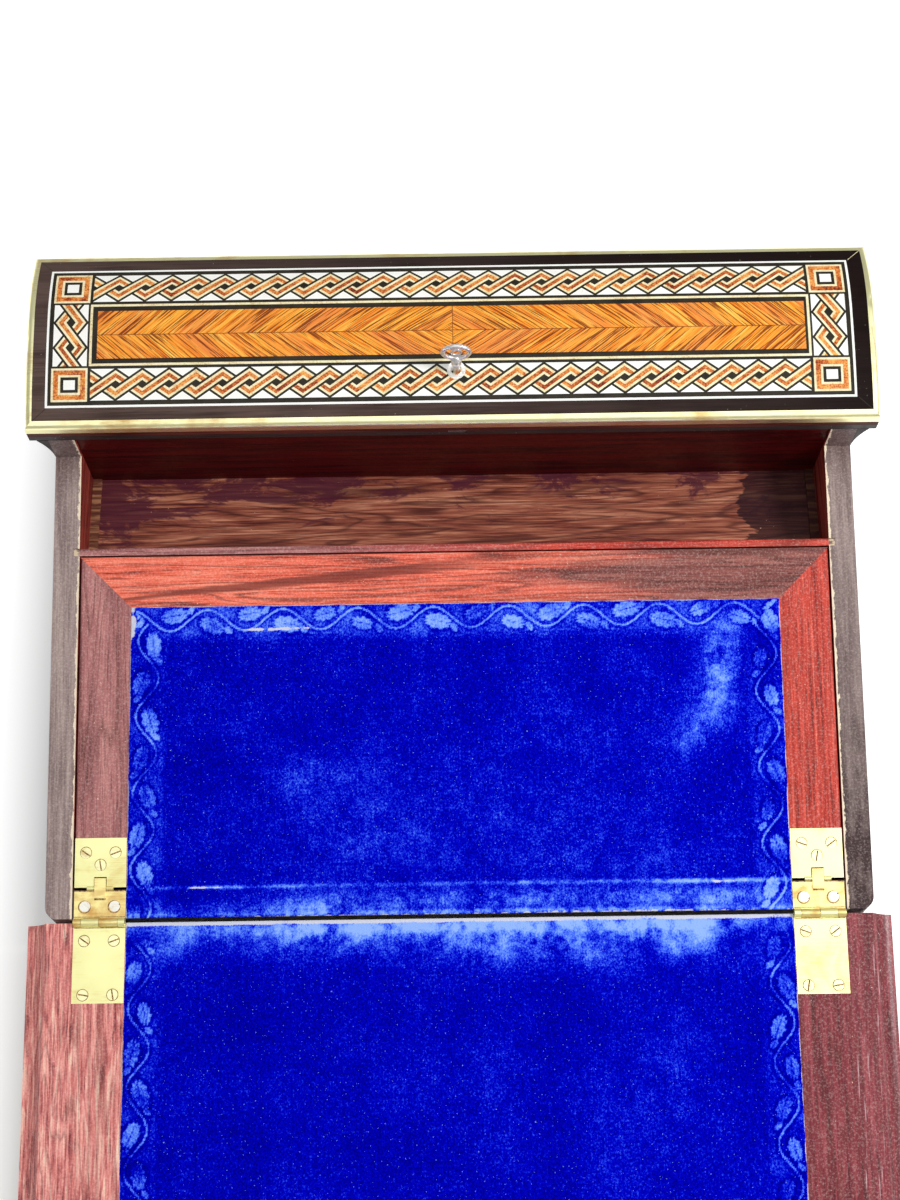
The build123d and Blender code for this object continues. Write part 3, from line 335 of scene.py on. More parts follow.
# The second number is where the painted shade of the lid's veneer starts to deepen towards the back.
RAIL_START, SHADE_FROM, LID_WIDTH = -124.75, 118.0, 368.0
EBONY_TONES = [(0.36, 34, 27, 27), (0.64, 58, 47, 45)]
print("wood helpers ready")

# %% [markdown]
# ## Ebonised wood
# Fruitwood stained black and polished. It isn't quite black: old polish shows a purple-brown cast, dust and
# fine scratches. A dark base with a thin clear coat gives that, and noise in the roughness breaks the shine.

# %% Ebonised finishes
def ebonised(name, stops, coat=0.06, specular=0.2, painted_shade=0.0):
    """Ebonised wood. A last number above zero paints it darker to the right and at the back: painted shade.
    """
    f = Finish(name, specular=specular, coat_weight=coat, coat_roughness=0.25)
    tone, holes = grain(f, 0, stops, streak=0.15)
    cloud = f.noise(0.035)
    tone = cloud.ramp((0.35, 0.0), (0.65, 0.45)).mix(tone, stops[1][1:])
    # Painted shade: the veneer is painted darker to the right and towards the back.
    if painted_shade:
        x, y = (f.place().axis(letter) for letter in "XY")
        spread = (y - SHADE_FROM).larger(0.0) * 0.016 + x * (1 / LID_WIDTH) + 0.5
        tone = spread.ramp((0.3, 0.0), (0.75, painted_shade * 0.7), (1.0, painted_shade)).mix(tone, (12, 3, 3))
    f.polish(specks(f, tone, PALE_DUST), f.noise(0.25, 4.0), 0.3, 0.5)
    f.bump(cloud - holes * 0.5, 0.25, 0.05)
    return f


ebony = ebonised("ebonised_polish", EBONY_TONES)
# The lid's veneer takes painted shade, darker to the right and at the back.
ebony_band = ebonised("ebonised_veneer", [(0.36, 64, 49, 45), (0.64, 94, 76, 70)], 0.02, 0.05, 0.92)
coat_node(ebony, "front_board", "back_board", "under_lid_mouldings", "lid_front_rail", "lid_back_rail")
coat_node(ebony, "lid_end_rails", "lower_hinge_rail", "lower_outer_board")
coat_node(ebony_band, "lid_marquetry", "lower_marquetry")
print("ebonised finishes on")

# %% [markdown]
# ## The box's sides
# Their top edges are painted grey, a painted reflection of the pale sky in their polish, with dust specks.
# The right top is darker towards the front, and near the lid the tops carry the lid's painted shadow. The
# inside faces were stained dark red, and pale wood shows where the inner edge and the housings of the tray's
# rail are chipped. All of this follows from where a point lies across the box, so the finish reads the
# distance from the middle.

# %% Sides
INNER_FACE, OUTER_FACE, RAIL_HALF, CHIP_EDGE = 164.56, 175.94, 164.4, 162.75
# Tones of the tops, grey as a painted reflection of the sky in the polish.
SKY_SHEEN_GREY = [(0.36, 130, 111, 108), (0.5, 154, 134, 130), (0.64, 172, 152, 147)]

side = Finish("side_wood", coat_weight=0.03)
side_x, side_y = (side.place().axis(letter) for letter in "XY")
across = abs(side_x)
side_top_tone, holes = grain(side, 1, SKY_SHEEN_GREY, UP_SLOPE, 0.25)
side_top_tone = specks(side, side_top_tone, (205, 194, 186))
stained, _ = grain(side, 1, [(0.36, 84, 14, 12), (0.62, 160, 66, 56)], streak=0.2)
stained = specks(side, stained, (150, 96, 84))
outer, _ = grain(side, 1, [(0.36, 30, 22, 22), (0.64, 50, 40, 38)], UP_SLOPE, 0.2)
outer = specks(side, outer, PALE_DUST)
# The right top is darker towards the front.
toward_front = (side_y * (-1 / 160.0) + 0.34).larger(0.22)
front_darkening = side.noise((0.2, 0.05, 0.05), 4.0, 0.6, move=(0, 7, 0)).ramp((0.42, 1.0), (0.6, 0.6)) * toward_front
side_top_tone = ((side_x > 0.0) * front_darkening).mix(side_top_tone, (62, 42, 42))
# Painted shadow: near the lid the tops are painted dark red-brown.
lid_shadow = (side_y * 0.01 + front_darkening * 0.05).ramp((0.4, 0.0), (0.56, 0.55))
side_top_tone = mottle(side, lid_shadow.mix(side_top_tone, (66, 34, 32)), 0.14)
body_tone = (across > INNER_FACE).mix(stained, side_top_tone)
body_tone = (across > OUTER_FACE).mix(body_tone, outer)
ragged = side.noise((0.5, 0.16, 0.5), 4.0, 0.7)
chip = (across - ragged * 4.2 - CHIP_EDGE).ramp((0.3, 1.0), (0.6, 0.0))
body_tone = (chip * (across > INNER_FACE)).mix(body_tone, (240, 222, 196))
side.polish(body_tone, side.noise(0.3, 4.0), 0.38, 0.6)
side.bump(ragged - holes, 0.14, 0.08)
coat_node(side, "side_left", "side_right")
print("sides finished")

# %% [markdown]
# ## Rosewood frame round the velvet
# The top rail is a bright salmon red on the left and turns purple-brown to the right. The left stile is a
# dull mauve-brown, the right one a straight-grained red. They are one recipe with other tones, and the top
# rail mixes two of them along its length.

# %% Rosewood
FIGURE_LINES = [
    (0.36, 0.375, 0.39, 1.0), (0.445, 0.46, 0.47, 0.9), (0.505, 0.525, 0.54, 1.0), (0.6, 0.61, 0.63, 1.0),
]
SALMON = [(0.27, 120, 44, 34), (0.38, 206, 84, 62), (0.5, 244, 110, 84), (0.7, 255, 142, 114)]
PURPLE = [(0.34, 96, 48, 46), (0.5, 138, 74, 68), (0.66, 160, 96, 86)]
MAUVE = [(0.3, 138, 84, 84), (0.5, 174, 110, 109), (0.7, 200, 136, 130)]
RED = [(0.28, 126, 26, 16), (0.42, 184, 50, 36), (0.55, 208, 70, 54), (0.7, 230, 96, 78)]
PINK = [(0.3, 140, 66, 66), (0.42, 206, 112, 108), (0.52, 232, 142, 134)]
PINK += [(0.62, 250, 180, 166), (0.72, 255, 216, 190)]
WINE = [(0.28, 84, 20, 28), (0.5, 130, 44, 54), (0.7, 164, 74, 82)]


def figure(f, tone, along, turn, colour, strength=0.7, wide=0.07, length=0.0045, seed=0.0):
    """Dark figure lines: the contours of a slow noise that is stretched along the grain."""
    stretch = [wide] * 3
    stretch[along] = length
    slow = f.noise(stretch, 2.5, 0.45, 0.3, turn, (seed, seed, 0))
    stops = []
    for start, top, end, grey in FIGURE_LINES:
        stops += [(start, 0.0), (top, grey), (end, 0.0)]
    return (slow.ramp(*stops) * strength).mix(tone, colour)


def rosewood(
    name, along, turn, stops, streak, other=None, length=0.012, gloss=0.35, bend=0.6, lines=0.5, over=None
):
    """Rosewood in one tone, or in two that change along X, with what "over" lays on top of it."""
    f = Finish(name, coat_weight=0.04, coat_roughness=0.3)
    tone, holes = grain(f, along, stops, turn, streak, length, bend)
    if other:
        second_stops, start, width = other
        second, _ = grain(f, along, second_stops, turn, streak, length, bend)
        ragged = f.noise((0.01, 0.12, 0.12)) * 160.0 - 80.0
        where = (f.place().axis("X") + ragged - start) * (1 / width)
        tone = where.ramp((0.0, 0.0), (1.0, 1.0)).mix(tone, second)
    tone = (holes * 0.55).mix(tone, PORE_BROWN)
    tone = figure(f, tone, along, turn, (92, 42, 36), lines)
    tone = specks(f, mottle(f, tone), (240, 205, 185))
    f.polish(over(f, tone) if over else tone, f.noise(0.2, 4.0), gloss, gloss + 0.2)
    f.bump(1.0 - holes, 0.3, 0.06)
    return f


def rising_streak(f, tone):
    """A darker streak that climbs along the top rail and ends before its right end."""
    x = f.place().axis("X")
    up = f.place(turn=UP_SLOPE).axis("Y") - RAIL_START
    middle = f.noise((0.03, 0.3, 0.3), turn=UP_SLOPE) * 3.0 + x * 0.092 + 149.3
    off = x * -0.012 + abs(up - middle)
    band = (off * 0.25).ramp((0.52, 0.8), (0.78, 0.0))
    reach = (x * 0.005 + 0.8).ramp((0.7, 1.0), (0.95, 0.0))
    return (band * reach).mix(tone, (122, 50, 40))


def rubbed_ends(f, tone):
    """Bare pale wood on the rail's ends, where they sit in the sides."""
    ends = f.noise(0.55).ramp((0.42, 120, 98, 92), (0.56, 214, 190, 160))
    return (abs(f.place().axis("X")) > RAIL_HALF).mix(tone, ends)


to_purple, to_red = (PURPLE, 20.0, 60.0), (RED, -60.0, 90.0)
straight = {"length": 0.008, "bend": 0.1, "lines": 0.25}
for node, name, along, turn, stops, streak, more in (
    ("upper_top_rail", "top_rail", 0, UP_SLOPE, SALMON, 0.16, {"other": to_purple, "lines": 0.75}),
    ("upper_stile_left", "left_stile", 1, UP_SLOPE, MAUVE, 0.14, {}),
    ("upper_stile_right", "right_stile", 1, UP_SLOPE, RED, 0.5, straight),
    ("lower_strip_left", "lower_left", 1, DOWN_SLOPE, PINK, 0.3, {"length": 0.03, "bend": 1.3}),
    ("lower_strip_right", "lower_right", 1, DOWN_SLOPE, WINE, 0.3, {}),
    ("lower_inner_rail", "lower_rail", 0, DOWN_SLOPE, PINK, 0.3, {}),
    ("flap_rest_rail", "rail", 0, UP_SLOPE, MAUVE, 0.3, {"other": to_red, "gloss": 0.25}),
):
    over = {"upper_top_rail": rising_streak, "flap_rest_rail": rubbed_ends}.get(node)
    coat_node(rosewood("rosewood_" + name, along, turn, stops, streak, over=over, **more), node)
print("rosewood finished")

# %% [markdown]
# ## The lower flap's sides
# Each side of the lower flap is one moulded piece: its face carries on the rosewood, and below it the cove
# under the overhang is ebonised. The finish changes with depth below the writing face.

# %% Lower flap's sides
def two_tone(name, stops, along=1, length=0.012, bend=0.6):
    """Rosewood on the writing face, ebonised wood below it. "along" is the axis of the grain."""
    f = Finish(name, coat_weight=0.12, coat_roughness=0.2)
    x, height = f.place().axis("X"), f.place(turn=DOWN_SLOPE).axis("Z")
    tone, holes = grain(f, along, stops, DOWN_SLOPE, 0.3, length, bend)
    tone = figure(f, tone, along, DOWN_SLOPE, (104, 56, 54), 0.5, 0.09, 0.01, 3.0)
    tone = (holes * 0.5).mix(tone, PORE_BROWN)
    # Painted highlight: a pale streak on the right side's face near its outer edge, where the cove catches
    # the light.
    gloss = f.noise((0.7, 0.035, 0.035), 3.0, 0.6, 0.0, DOWN_SLOPE, (2, 0, 0))
    gloss = (x - HIGHLIGHT_EDGE).larger(0.0) * 0.03 + gloss
    on_top = (x > HIGHLIGHT_START) * (height > VENEER_FOOT + 12.5)
    tone = (gloss.ramp((0.61, 0.0), (0.7, 0.75)) * on_top).mix(tone, (214, 178, 182))
    black, _ = grain(f, along, EBONY_TONES, DOWN_SLOPE, 0.2)
    tone = (height > VENEER_FOOT).mix(black, tone)
    f.polish(specks(f, mottle(f, tone), (225, 195, 180)), f.noise(0.2, 4.0), 0.34, 0.52)
    f.bump(1.0 - holes, 0.3, 0.06)
    return f


fold_turned = Matrix.Rotation(-OPEN_SLOPE, 3, "X") @ FOLD
# The last two numbers bound the painted highlight on the right side.
VENEER_FOOT, HIGHLIGHT_START, HIGHLIGHT_EDGE = fold_turned.z - 14.0, 150.0, 175.0
coat_node(two_tone("rosewood_over_black_left", PINK, 1, 0.035, 1.3), "lower_side_left")
coat_node(two_tone("rosewood_over_black_right", WINE), "lower_side_right")
coat_node(two_tone("rosewood_over_black_end", PINK, 0), "lower_end_rail")
print("turned height of the fold", round(fold_turned.z, 3))

# %% [markdown]
# ## Pen tray
# The back wall is stained a deep maroon. The floor is a brown figured wood with old purple ink stains and
# pale specks. Rough strips lie at its ends, cut across with tool marks.

# %% Pen tray finishes
INK_START, SHADE_START = 90.0, 146.0
TRAY_TONES = [(0.3, 76, 28, 22), (0.42, 126, 62, 48), (0.54, 156, 90, 68), (0.7, 196, 132, 104)]

wall = Finish("maroon_stain", coat_weight=0.03)
tone, holes = grain(wall, 0, [(0.36, 44, 0, 2), (0.64, 82, 6, 6)], streak=0.25)
wall.polish(specks(wall, tone, (130, 60, 56)), wall.noise(0.3), 0.35, 0.5)
wall.bump(holes, 0.2, 0.05)
coat_node(wall, "pen_tray_back_wall")

tray = Finish("tray_wood", coat_weight=0.02)
tray_x, tray_y = (tray.place().axis(letter) for letter in "XY")
tone, holes = grain(tray, 0, TRAY_TONES, NO_TURN, 0.32, 0.02, 1.0)
tone = figure(tray, tone, 0, NO_TURN, (64, 22, 20), 0.8, 0.06, 0.006, 5.0)
ink = tray.noise((0.03, 0.075, 0.03), 5.0, 0.7, 0.6, move=(3.1, 0.4, 0))
leftward = (tray_x * -1.0 - INK_START).larger(0.0) * 0.0021
ink_at = ink + leftward + tray_y * 0.006 - 0.24
tone = ink_at.ramp((0.58, 0.0), (0.65, 0.85)).mix(tone, (74, 18, 40))
# Painted shadow: the right end of the tray floor is painted near black, with a ragged edge from the ink
# noise.
end_shade = ink * 30.0 + tray_x - SHADE_START
tone = end_shade.ramp((0.0, 0.0), (1.0, 0.85)).mix(tone, (34, 4, 16))
tone = (holes * 0.5).mix(tone, (52, 22, 20))
tray.set("Base Color", specks(tray, tone, (225, 185, 165)))
tray.set("Roughness", ink.ramp((0.4, 0.42), (0.65, 0.6)))
tray.bump(1.0 - holes, 0.35, 0.06)
coat_node(tray, "tray_floor")

strips = Finish("rough_strip", 0.75)
tone, _ = grain(strips, 0, [(0.36, 84, 42, 30), (0.5, 128, 80, 56), (0.64, 166, 116, 84)], streak=0.5)
saw = {"Vector": strips.place(), "Scale": 0.06, "Distortion": 7.0, "Detail": 4.0}
marks = strips.add("ShaderNodeTexWave", saw, "Fac", bands_direction="Y")
tone = marks.ramp((0.1, 0.8), (0.35, 0.0)).mix(tone, (88, 40, 34))
# Painted shadow: the right strip is painted dark, like the tray's right end.
strips.set("Base Color", ((strips.place().axis("X") > 0.0) * 0.8).mix(tone, (34, 6, 14)))
strips.bump(marks, 0.5, 0.3)
coat_node(strips, "tray_end_strips")
print("pen tray finished")

# %% [markdown]
# ## Plain inside woods
# Base, ledges, dividers and the boards under the velvet are plain brown wood, sawn and unpolished. They are
# seen from below or with the flaps lifted.

# %% Carcase wood
def unpolished(name, roughness, stops, streak, pore, depth):
    """Plain sawn wood, with its pores as pits."""
    f = Finish(name, roughness)
    tone, holes = grain(f, 0, stops, streak=streak)
    tone = (holes * 0.5).mix(tone, pore)
    f.set("Base Color", tone)
    f.bump(1.0 - holes, depth, 0.08)
    return f, tone


CARCASE = [(0.35, 104, 64, 42), (0.5, 138, 92, 62), (0.66, 164, 118, 84)]
plain, tone = unpolished("carcase_wood", 0.65, CARCASE, 0.12, (70, 40, 26), 0.4)
plain.set("Base Color", specks(plain, tone, (190, 150, 118)))
coat_node(plain, "base_board", "flap_ledges", "upper_panel", "lower_panel", "ink_dividers")
LID_INSIDE = [(0.36, 66, 20, 16), (0.64, 110, 50, 38)]
inside_lid, _ = unpolished("lid_inside_stain", 0.55, LID_INSIDE, 0.15, (40, 12, 10), 0.3)
coat_node(inside_lid, "lid_board")
print("inside woods finished")

# %% [markdown]
# ## Metals
# Brass, pale and satin, with brown tarnish in patches and fine scratches. The screws are a little darker.
# Nickel for the key and its round plate, steel for the lock.

# %% Metals
def metal(name, bright, dull, rough, patch=0.06, scratch=0.3, dull_from=0.56):
    """Metal with cloudy tarnish and fine scratches."""
    f = Finish(name, specular=0.5, metallic=1.0)
    fine = f.noise((0.15, 1.6, 1.6), 3.0, 0.6)
    mixed = f.noise(patch, 4.0, 0.6, 0.5) * 0.75 + fine * 0.25
    f.polish(mixed.ramp((dull_from - 0.1, *bright), (dull_from + 0.12, *dull)), mixed, rough, rough + 0.2)
    f.bump(fine, scratch, 0.03)
    return f


brass = metal("brass_satin", (255, 252, 186), (238, 214, 140), 0.42, 0.05, 0.2, 0.62)
brass_edge = metal("brass_edging", (255, 250, 196), (214, 176, 106), 0.3, 0.04, 0.3, 0.6)
screw_brass = metal("brass_screws", (255, 250, 196), (222, 190, 128), 0.36, 0.2, 0.2, 0.64)
steel = metal("lock_steel", (190, 188, 184), (120, 112, 104), 0.35)
nickel = metal("nickel", (250, 249, 246), (196, 190, 184), 0.2, 0.3)
warm_brass = metal("brass_warm", (255, 240, 166), (226, 182, 108), 0.4, 0.12, 0.2, 0.54)
bright_screws = metal("bright_screws", (255, 254, 246), (236, 214, 176), 0.5, 0.2, 0.2, 0.64)
coat_node(brass, "upper_hinge_leaves", "lower_hinge_leaves", "lid_hinge_box_leaves", "lid_hinge_lid_leaves")
coat_node(brass, "hinge_pins", "strike_plate", "inkwell_collars", "inkwell_cap_left", "inkwell_cap_right")
coat_node(warm_brass, "front_hinge_leaves")
coat_node(brass_edge, "lid_brass_front", "lid_brass_back", "lid_brass_ends")
coat_node(brass_edge, "lower_brass_near", "lower_brass_far", "lower_brass_sides")
coat_node(screw_brass, "upper_hinge_screws", "lower_hinge_screws", "lid_hinge_screws")
coat_node(bright_screws, "box_hinge_screws")
coat_node(steel, "lock_case", "lock_bolt")
coat_node(nickel, "keyhole_escutcheon", "key")

glass = Finish("bottle_glass", 0.05, transmission_weight=1.0)
glass.set("IOR", 1.5)
glass.set("Base Color", glass.noise(0.1).ramp((0.4, 226, 240, 236), (0.6, 238, 246, 242)))
glass.bump(glass.noise(0.2, 2.0), 0.1, 0.2)
coat_node(glass, "ink_bottles")
print("metals and glass finished")

# %% [markdown]
# ## The inlaid pattern, drawn flat
# The lid's border is a guilloche: flat ribbons of orange wood between pale fillets that twist over and under
# each other, with white triangles filling the notches. Modelling it piece by piece, as an inlayer cuts it,
# keeps every joint sharp. Each tile is one square of a grid, sheared into a parallelogram and trimmed with
# straight cuts. The black wood between the tiles is the dyed veneer below, so it needs no tiles of its own.

# %% Tiles
WHITE_WOOD, CREAM_WOOD, ORANGE_WOOD, BLACK_WOOD = 0, 1, 2, 3


def trim(bm, point, normal, drop=True):
    """Cut a flat pattern along a line and, if asked, drop what lies on the normal's side."""
    everything = bm.verts[:] + bm.edges[:] + bm.faces[:]
    bmesh.ops.bisect_plane(
        bm, geom=everything, dist=1e-6, plane_co=(*point, 0), plane_no=(*normal, 0), clear_outer=drop
    )


def tile(centre, run, height, wood, cuts=()):
    """A parallelogram: run is its sloping side as (across, up), height its upright side. Millimetres."""
    bm = bmesh.new()
    shear = Matrix(((run[0], 0, 0, centre[0]), (run[1], height, 0, centre[1]), (0, 0, 1, 0), (0, 0, 0, 1)))
    bmesh.ops.create_grid(bm, x_segments=1, y_segments=1, size=0.5, matrix=shear)
    for point, normal in cuts:
        trim(bm, point, normal)
    for face in bm.faces:
        face.material_index = wood
    return bm


def lay(pattern, piece, moves=((0, 0),), turn=0.0, keep=False):
    """Add copies of a small piece to the pattern, each turned and then moved."""
    for across, up in moves:
        copy = piece.copy()
        place = Matrix.Translation((across, up, 0)) @ Matrix.Rotation(turn, 4, "Z")
        bmesh.ops.transform(copy, verts=copy.verts, matrix=place)
        scrap = bpy.data.meshes.new("scrap")
        copy.to_mesh(scrap)
        copy.free()
        pattern.from_mesh(scrap)
        bpy.data.meshes.remove(scrap)
    if not keep:
        piece.free()


def nest(bm, *rings):
    """Inset a pattern's one face ring by ring. A ring without a wood is taken out."""
    middle = bm.faces[:]
    for thickness, wood in rings:
        inset = {"faces": middle, "thickness": thickness, "use_even_offset": True, "use_boundary": True}
        ring = bmesh.ops.inset_region(bm, **inset)["faces"]
        if wood is None:
            bmesh.ops.delete(bm, geom=ring, context="FACES")
        else:
            for face in ring:
                face.material_index = wood
    return middle


def frame_line(half_width, low, high, thickness, wood):
    """A thin mitred frame: a rectangle inset by the line's thickness, with its middle taken out."""
    bm = tile((0, (low + high) / 2), (2 * half_width, 0), high - low, wood)
    bmesh.ops.delete(bm, geom=nest(bm, (thickness, wood)), context="FACES")
    return bm


print("tile helpers ready")

# %% [markdown]
# ## The guilloche
# Each ribbon rises through one repeat, folds at a point and dives under the next one. Its middle line runs
# from the lower point to the upper point of the next repeat. All offsets are measured upright, so that the
# mitres at the folds are upright cuts.

# %% Guilloche
CORE, FILLET, GROUND = 0.8, 1.82, 2.78
EDGE_GAP, SWING_SHARE = 0.45, 0.545


def guilloche(length, pitch, half_height, phase):
    """A run of ribbons along X, centred on zero, trimmed at both ends."""
    swing = half_height * SWING_SHARE
    rise, across = 2 * swing, pitch / 2
    lean = math.cos(math.atan2(rise, pitch))
    core, fillet, ground = CORE / lean, FILLET / lean, GROUND / lean
    repeat = bmesh.new()
    falling_cut = [((pitch, ground - swing), (rise, -pitch))]
    coming_cut = [((0, swing - ground), (-rise, pitch))]
    strands = (-core, core, ORANGE_WOOD), (core, fillet, CREAM_WOOD), (-fillet, -core, CREAM_WOOD)
    for low, high, wood in strands:
        middle, height = (low + high) / 2, high - low
        lay(repeat, tile((across, middle), (pitch, rise), height, wood))
        lay(repeat, tile((across + pitch, middle), (pitch, -rise), height, wood, falling_cut))
        lay(repeat, tile((-across, middle), (pitch, -rise), height, wood, coming_cut))
    top = half_height - EDGE_GAP
    notch = [((across, ground), (-rise, -pitch)), ((across, ground), (rise, -pitch))]
    triangle = tile((across, (top + ground) / 2), (pitch, 0), top - ground, WHITE_WOOD, notch)
    lay(repeat, triangle, keep=True)
    lay(repeat, triangle, [(pitch, 0)], math.pi)
    count = int(length / pitch) + 4
    start = math.fmod(phase, pitch) - pitch * (count // 2)
    pattern = bmesh.new()
    lay(pattern, repeat, [(start + k * pitch, 0) for k in range(count + 1)])
    for end in (1, -1):
        trim(pattern, (end * length / 2, 0), (end, 0))
    return pattern


def corner_square(width, height):
    """Nested frames: pale line, orange wood, pale line, a black gap, and a white middle."""
    bm = tile((0, 0), (width, 0), height, WHITE_WOOD)
    nest(bm, (0.95, CREAM_WOOD), (2.1, ORANGE_WOOD), (1.0, CREAM_WOOD), (1.3, None))
    return bm


STRING, GAP, BAR, CREAM, BAND = 1.0, 1.45, 1.2, 1.1, 15.0


def border(half_width, low, high, repeats, side_repeats, half_field):
    """The whole border: string, corners, bands along and across, and the thin line round the field."""
    pattern = bmesh.new()
    lay(pattern, frame_line(half_width + STRING / 2, low - STRING / 2, high + STRING / 2, STRING, WHITE_WOOD))
    edge = STRING / 2 + 1.6
    front_end, back_start = low + edge + BAND, high - edge - BAND
    front_y, back_y = front_end - BAND / 2, back_start + BAND / 2
    line = half_field + 1.65 + CREAM
    outer, inner = half_width - STRING / 2 - GAP, line + EDGE_GAP
    corner_x, side_width = (inner + outer) / 2, outer - inner
    for y in (front_y, back_y):
        lay(pattern, corner_square(side_width, BAND), [(corner_x, y), (-corner_x, y)])
    whole = 2 * (inner - BAR + 0.6)
    pitch = whole / repeats
    for y in (front_y, back_y):
        run = guilloche(2 * (inner - BAR), pitch, BAND / 2, whole / 2 - pitch * repeats)
        lay(pattern, run, [(0, y)])
    across = back_start - front_end - 1.8
    side_pitch = pitch if side_repeats <= 2 else across / side_repeats
    for x in (corner_x, -corner_x):
        run = guilloche(across, side_pitch, side_width / 2, side_pitch / 2)
        lay(pattern, run, [(x, (front_end + back_start) / 2)], -math.pi / 2)
    lay(pattern, frame_line(line, front_end + 0.85, back_start - 0.85, CREAM, CREAM_WOOD))
    return pattern


LID_HALF, LID_LOW, LID_HIGH, LID_FIELD = 174.05, 9.4, 73.85, 153.2
FIELD_LOW, FIELD_HIGH = 30.6, 52.65
lid_pattern = border(LID_HALF, LID_LOW, LID_HIGH, 27, 2, LID_FIELD)
print("lid pattern has", len(lid_pattern.faces), "tiles")

# %% [markdown]
# ## Bending the pattern over the lid
# The lid's top is two arcs, a wide one in front and a tight one at the back. The flat pattern's second
# coordinate is the distance over the top from the front edge. Cross cuts every two millimetres let the
# tiles follow the arcs, and each tile sits a few hundredths of a millimetre proud, as worn inlay does.

# %% Lid surface
FRONT_R, BACK_R, CHANGE_Y, FRONT_Y, FRONT_Z = 300.0, 68.0, 106.0, 57.5, 128.08
START_ANGLE = math.radians(16)
front_centre = (FRONT_Y + FRONT_R * math.sin(START_ANGLE), FRONT_Z - FRONT_R * math.cos(START_ANGLE))
change_angle = math.asin((front_centre[0] - CHANGE_Y) / FRONT_R)
back_centre = (
    front_centre[0] - (FRONT_R - BACK_R) * math.sin(change_angle),
    front_centre[1] + (FRONT_R - BACK_R) * math.cos(change_angle),
)
change_reach = FRONT_R * (START_ANGLE - change_angle)


def lid_place(x, reach, lift=0.0):
    """A point on the lid's top, from the distance over it, lifted off the surface. Millimetres."""
    if reach < change_reach:
        angle, radius, centre = START_ANGLE - reach / FRONT_R, FRONT_R, front_centre
    else:
        angle, radius, centre = change_angle - (reach - change_reach) / BACK_R, BACK_R, back_centre
    r = radius + lift
    return Vector((x, centre[0] - r * math.sin(angle), centre[1] + r * math.cos(angle)))


def on_board(start, slope, x, distance, height):
    """A place on a sloping board: the distance up it from its start, and the height above it."""
    c, s = math.cos(slope), math.sin(slope)
    return x, start.y + distance * c - height * s, start.z + distance * s + height * c


def drape(bm, surface, lift, step):
    """Cross-cut a flat pattern and carry it onto a surface. Returns it in metres."""
    reaches = [v.co.y for v in bm.verts]
    cut = min(reaches) + step
    while step and cut < max(reaches):
        trim(bm, (0, cut), (0, 1), drop=False)
        cut += step
    sheet = bm.loops.layers.uv.new("flat")
    for face in bm.faces:
        for loop in face.loops:
            loop[sheet].uv = (loop.vert.co.x / 100, loop.vert.co.y / 100)
    for vert in bm.verts:
        vert.co = surface(vert.co.x, vert.co.y, lift) * MM
    return bm


print("lid surface ready, reach to the change of curve", round(change_reach, 2))

# %% [markdown]
# ## Inlay woods
# White holly for the string and triangles, cream boxwood for the fillets and an orange wood, cut across the
# grain, for the ribbons. Each has its own mottling, and the orange one changes from ribbon to ribbon. Thin
# dark lines of old polish gather at the joints, which the noise hints at.

# %% Inlay finishes
def inlay_wood(name, patch, *stops, specular=0.2):
    """A fine, mottled wood without a grain direction, as small tiles show it."""
    f = Finish(name, specular=specular, coat_weight=0.04, coat_roughness=0.25)
    fine = f.noise(1.3, 3.0, 0.6)
    mixed = f.noise(patch, 3.0, 0.6) * 0.5 + fine * 0.5
    f.polish(mixed.ramp(*stops), fine, 0.4, 0.55)
    f.bump(fine, 0.2, 0.03)
    return f


HOLLY = ((0.26, 214, 206, 190), (0.36, 250, 248, 240), (0.6, 255, 255, 252))
BOXWOOD = ((0.34, 206, 178, 128), (0.46, 242, 226, 180), (0.6, 252, 242, 208))
ORANGE = ((0.36, 84, 20, 6), (0.43, 164, 66, 22), (0.51, 220, 126, 58), (0.62, 250, 184, 96))
holly = inlay_wood("holly_white", 0.1, *HOLLY, specular=0.5)
boxwood = inlay_wood("boxwood_cream", 0.15, *BOXWOOD)
orange_wood = inlay_wood("orange_crossgrain", 0.09, *ORANGE)
black_wood = inlay_wood("dyed_black", 0.1, (0.36, 26, 22, 14), (0.62, 52, 46, 34))
inlays = (holly, boxwood, orange_wood)
GROUND_LIFT, LINE_LIFT, FIELD_LIFT, TILE_LIFT = 0.012, 0.02, 0.04, 0.045
LID_SHIFT = -0.55


def shifted_lid_place(x, reach, lift):
    """The lid's surface for a pattern that lies a little to the left of its middle."""
    return lid_place(x + LID_SHIFT, reach, lift)


def inlay(body, pattern, surface, lift, step, name, *finishes):
    """Bend a flat pattern over a surface, as a piece that rides on a body."""
    piece = finish_piece(drape(pattern, surface, lift, step), name, *finishes)
    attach(piece, body)
    print(piece.name, len(piece.data.polygons), "faces")


def rectangle(half_width, low, high):
    return tile((0, (low + high) / 2), (2 * half_width, 0), high - low, WHITE_WOOD)


lid_ground = rectangle(LID_HALF, LID_LOW, LID_HIGH)
inlay("rear_lid", lid_ground, shifted_lid_place, GROUND_LIFT, 2.0, "lid_black_ground", black_wood)
inlay("rear_lid", lid_pattern, shifted_lid_place, TILE_LIFT, 2.0, "lid_inlay", *inlays)

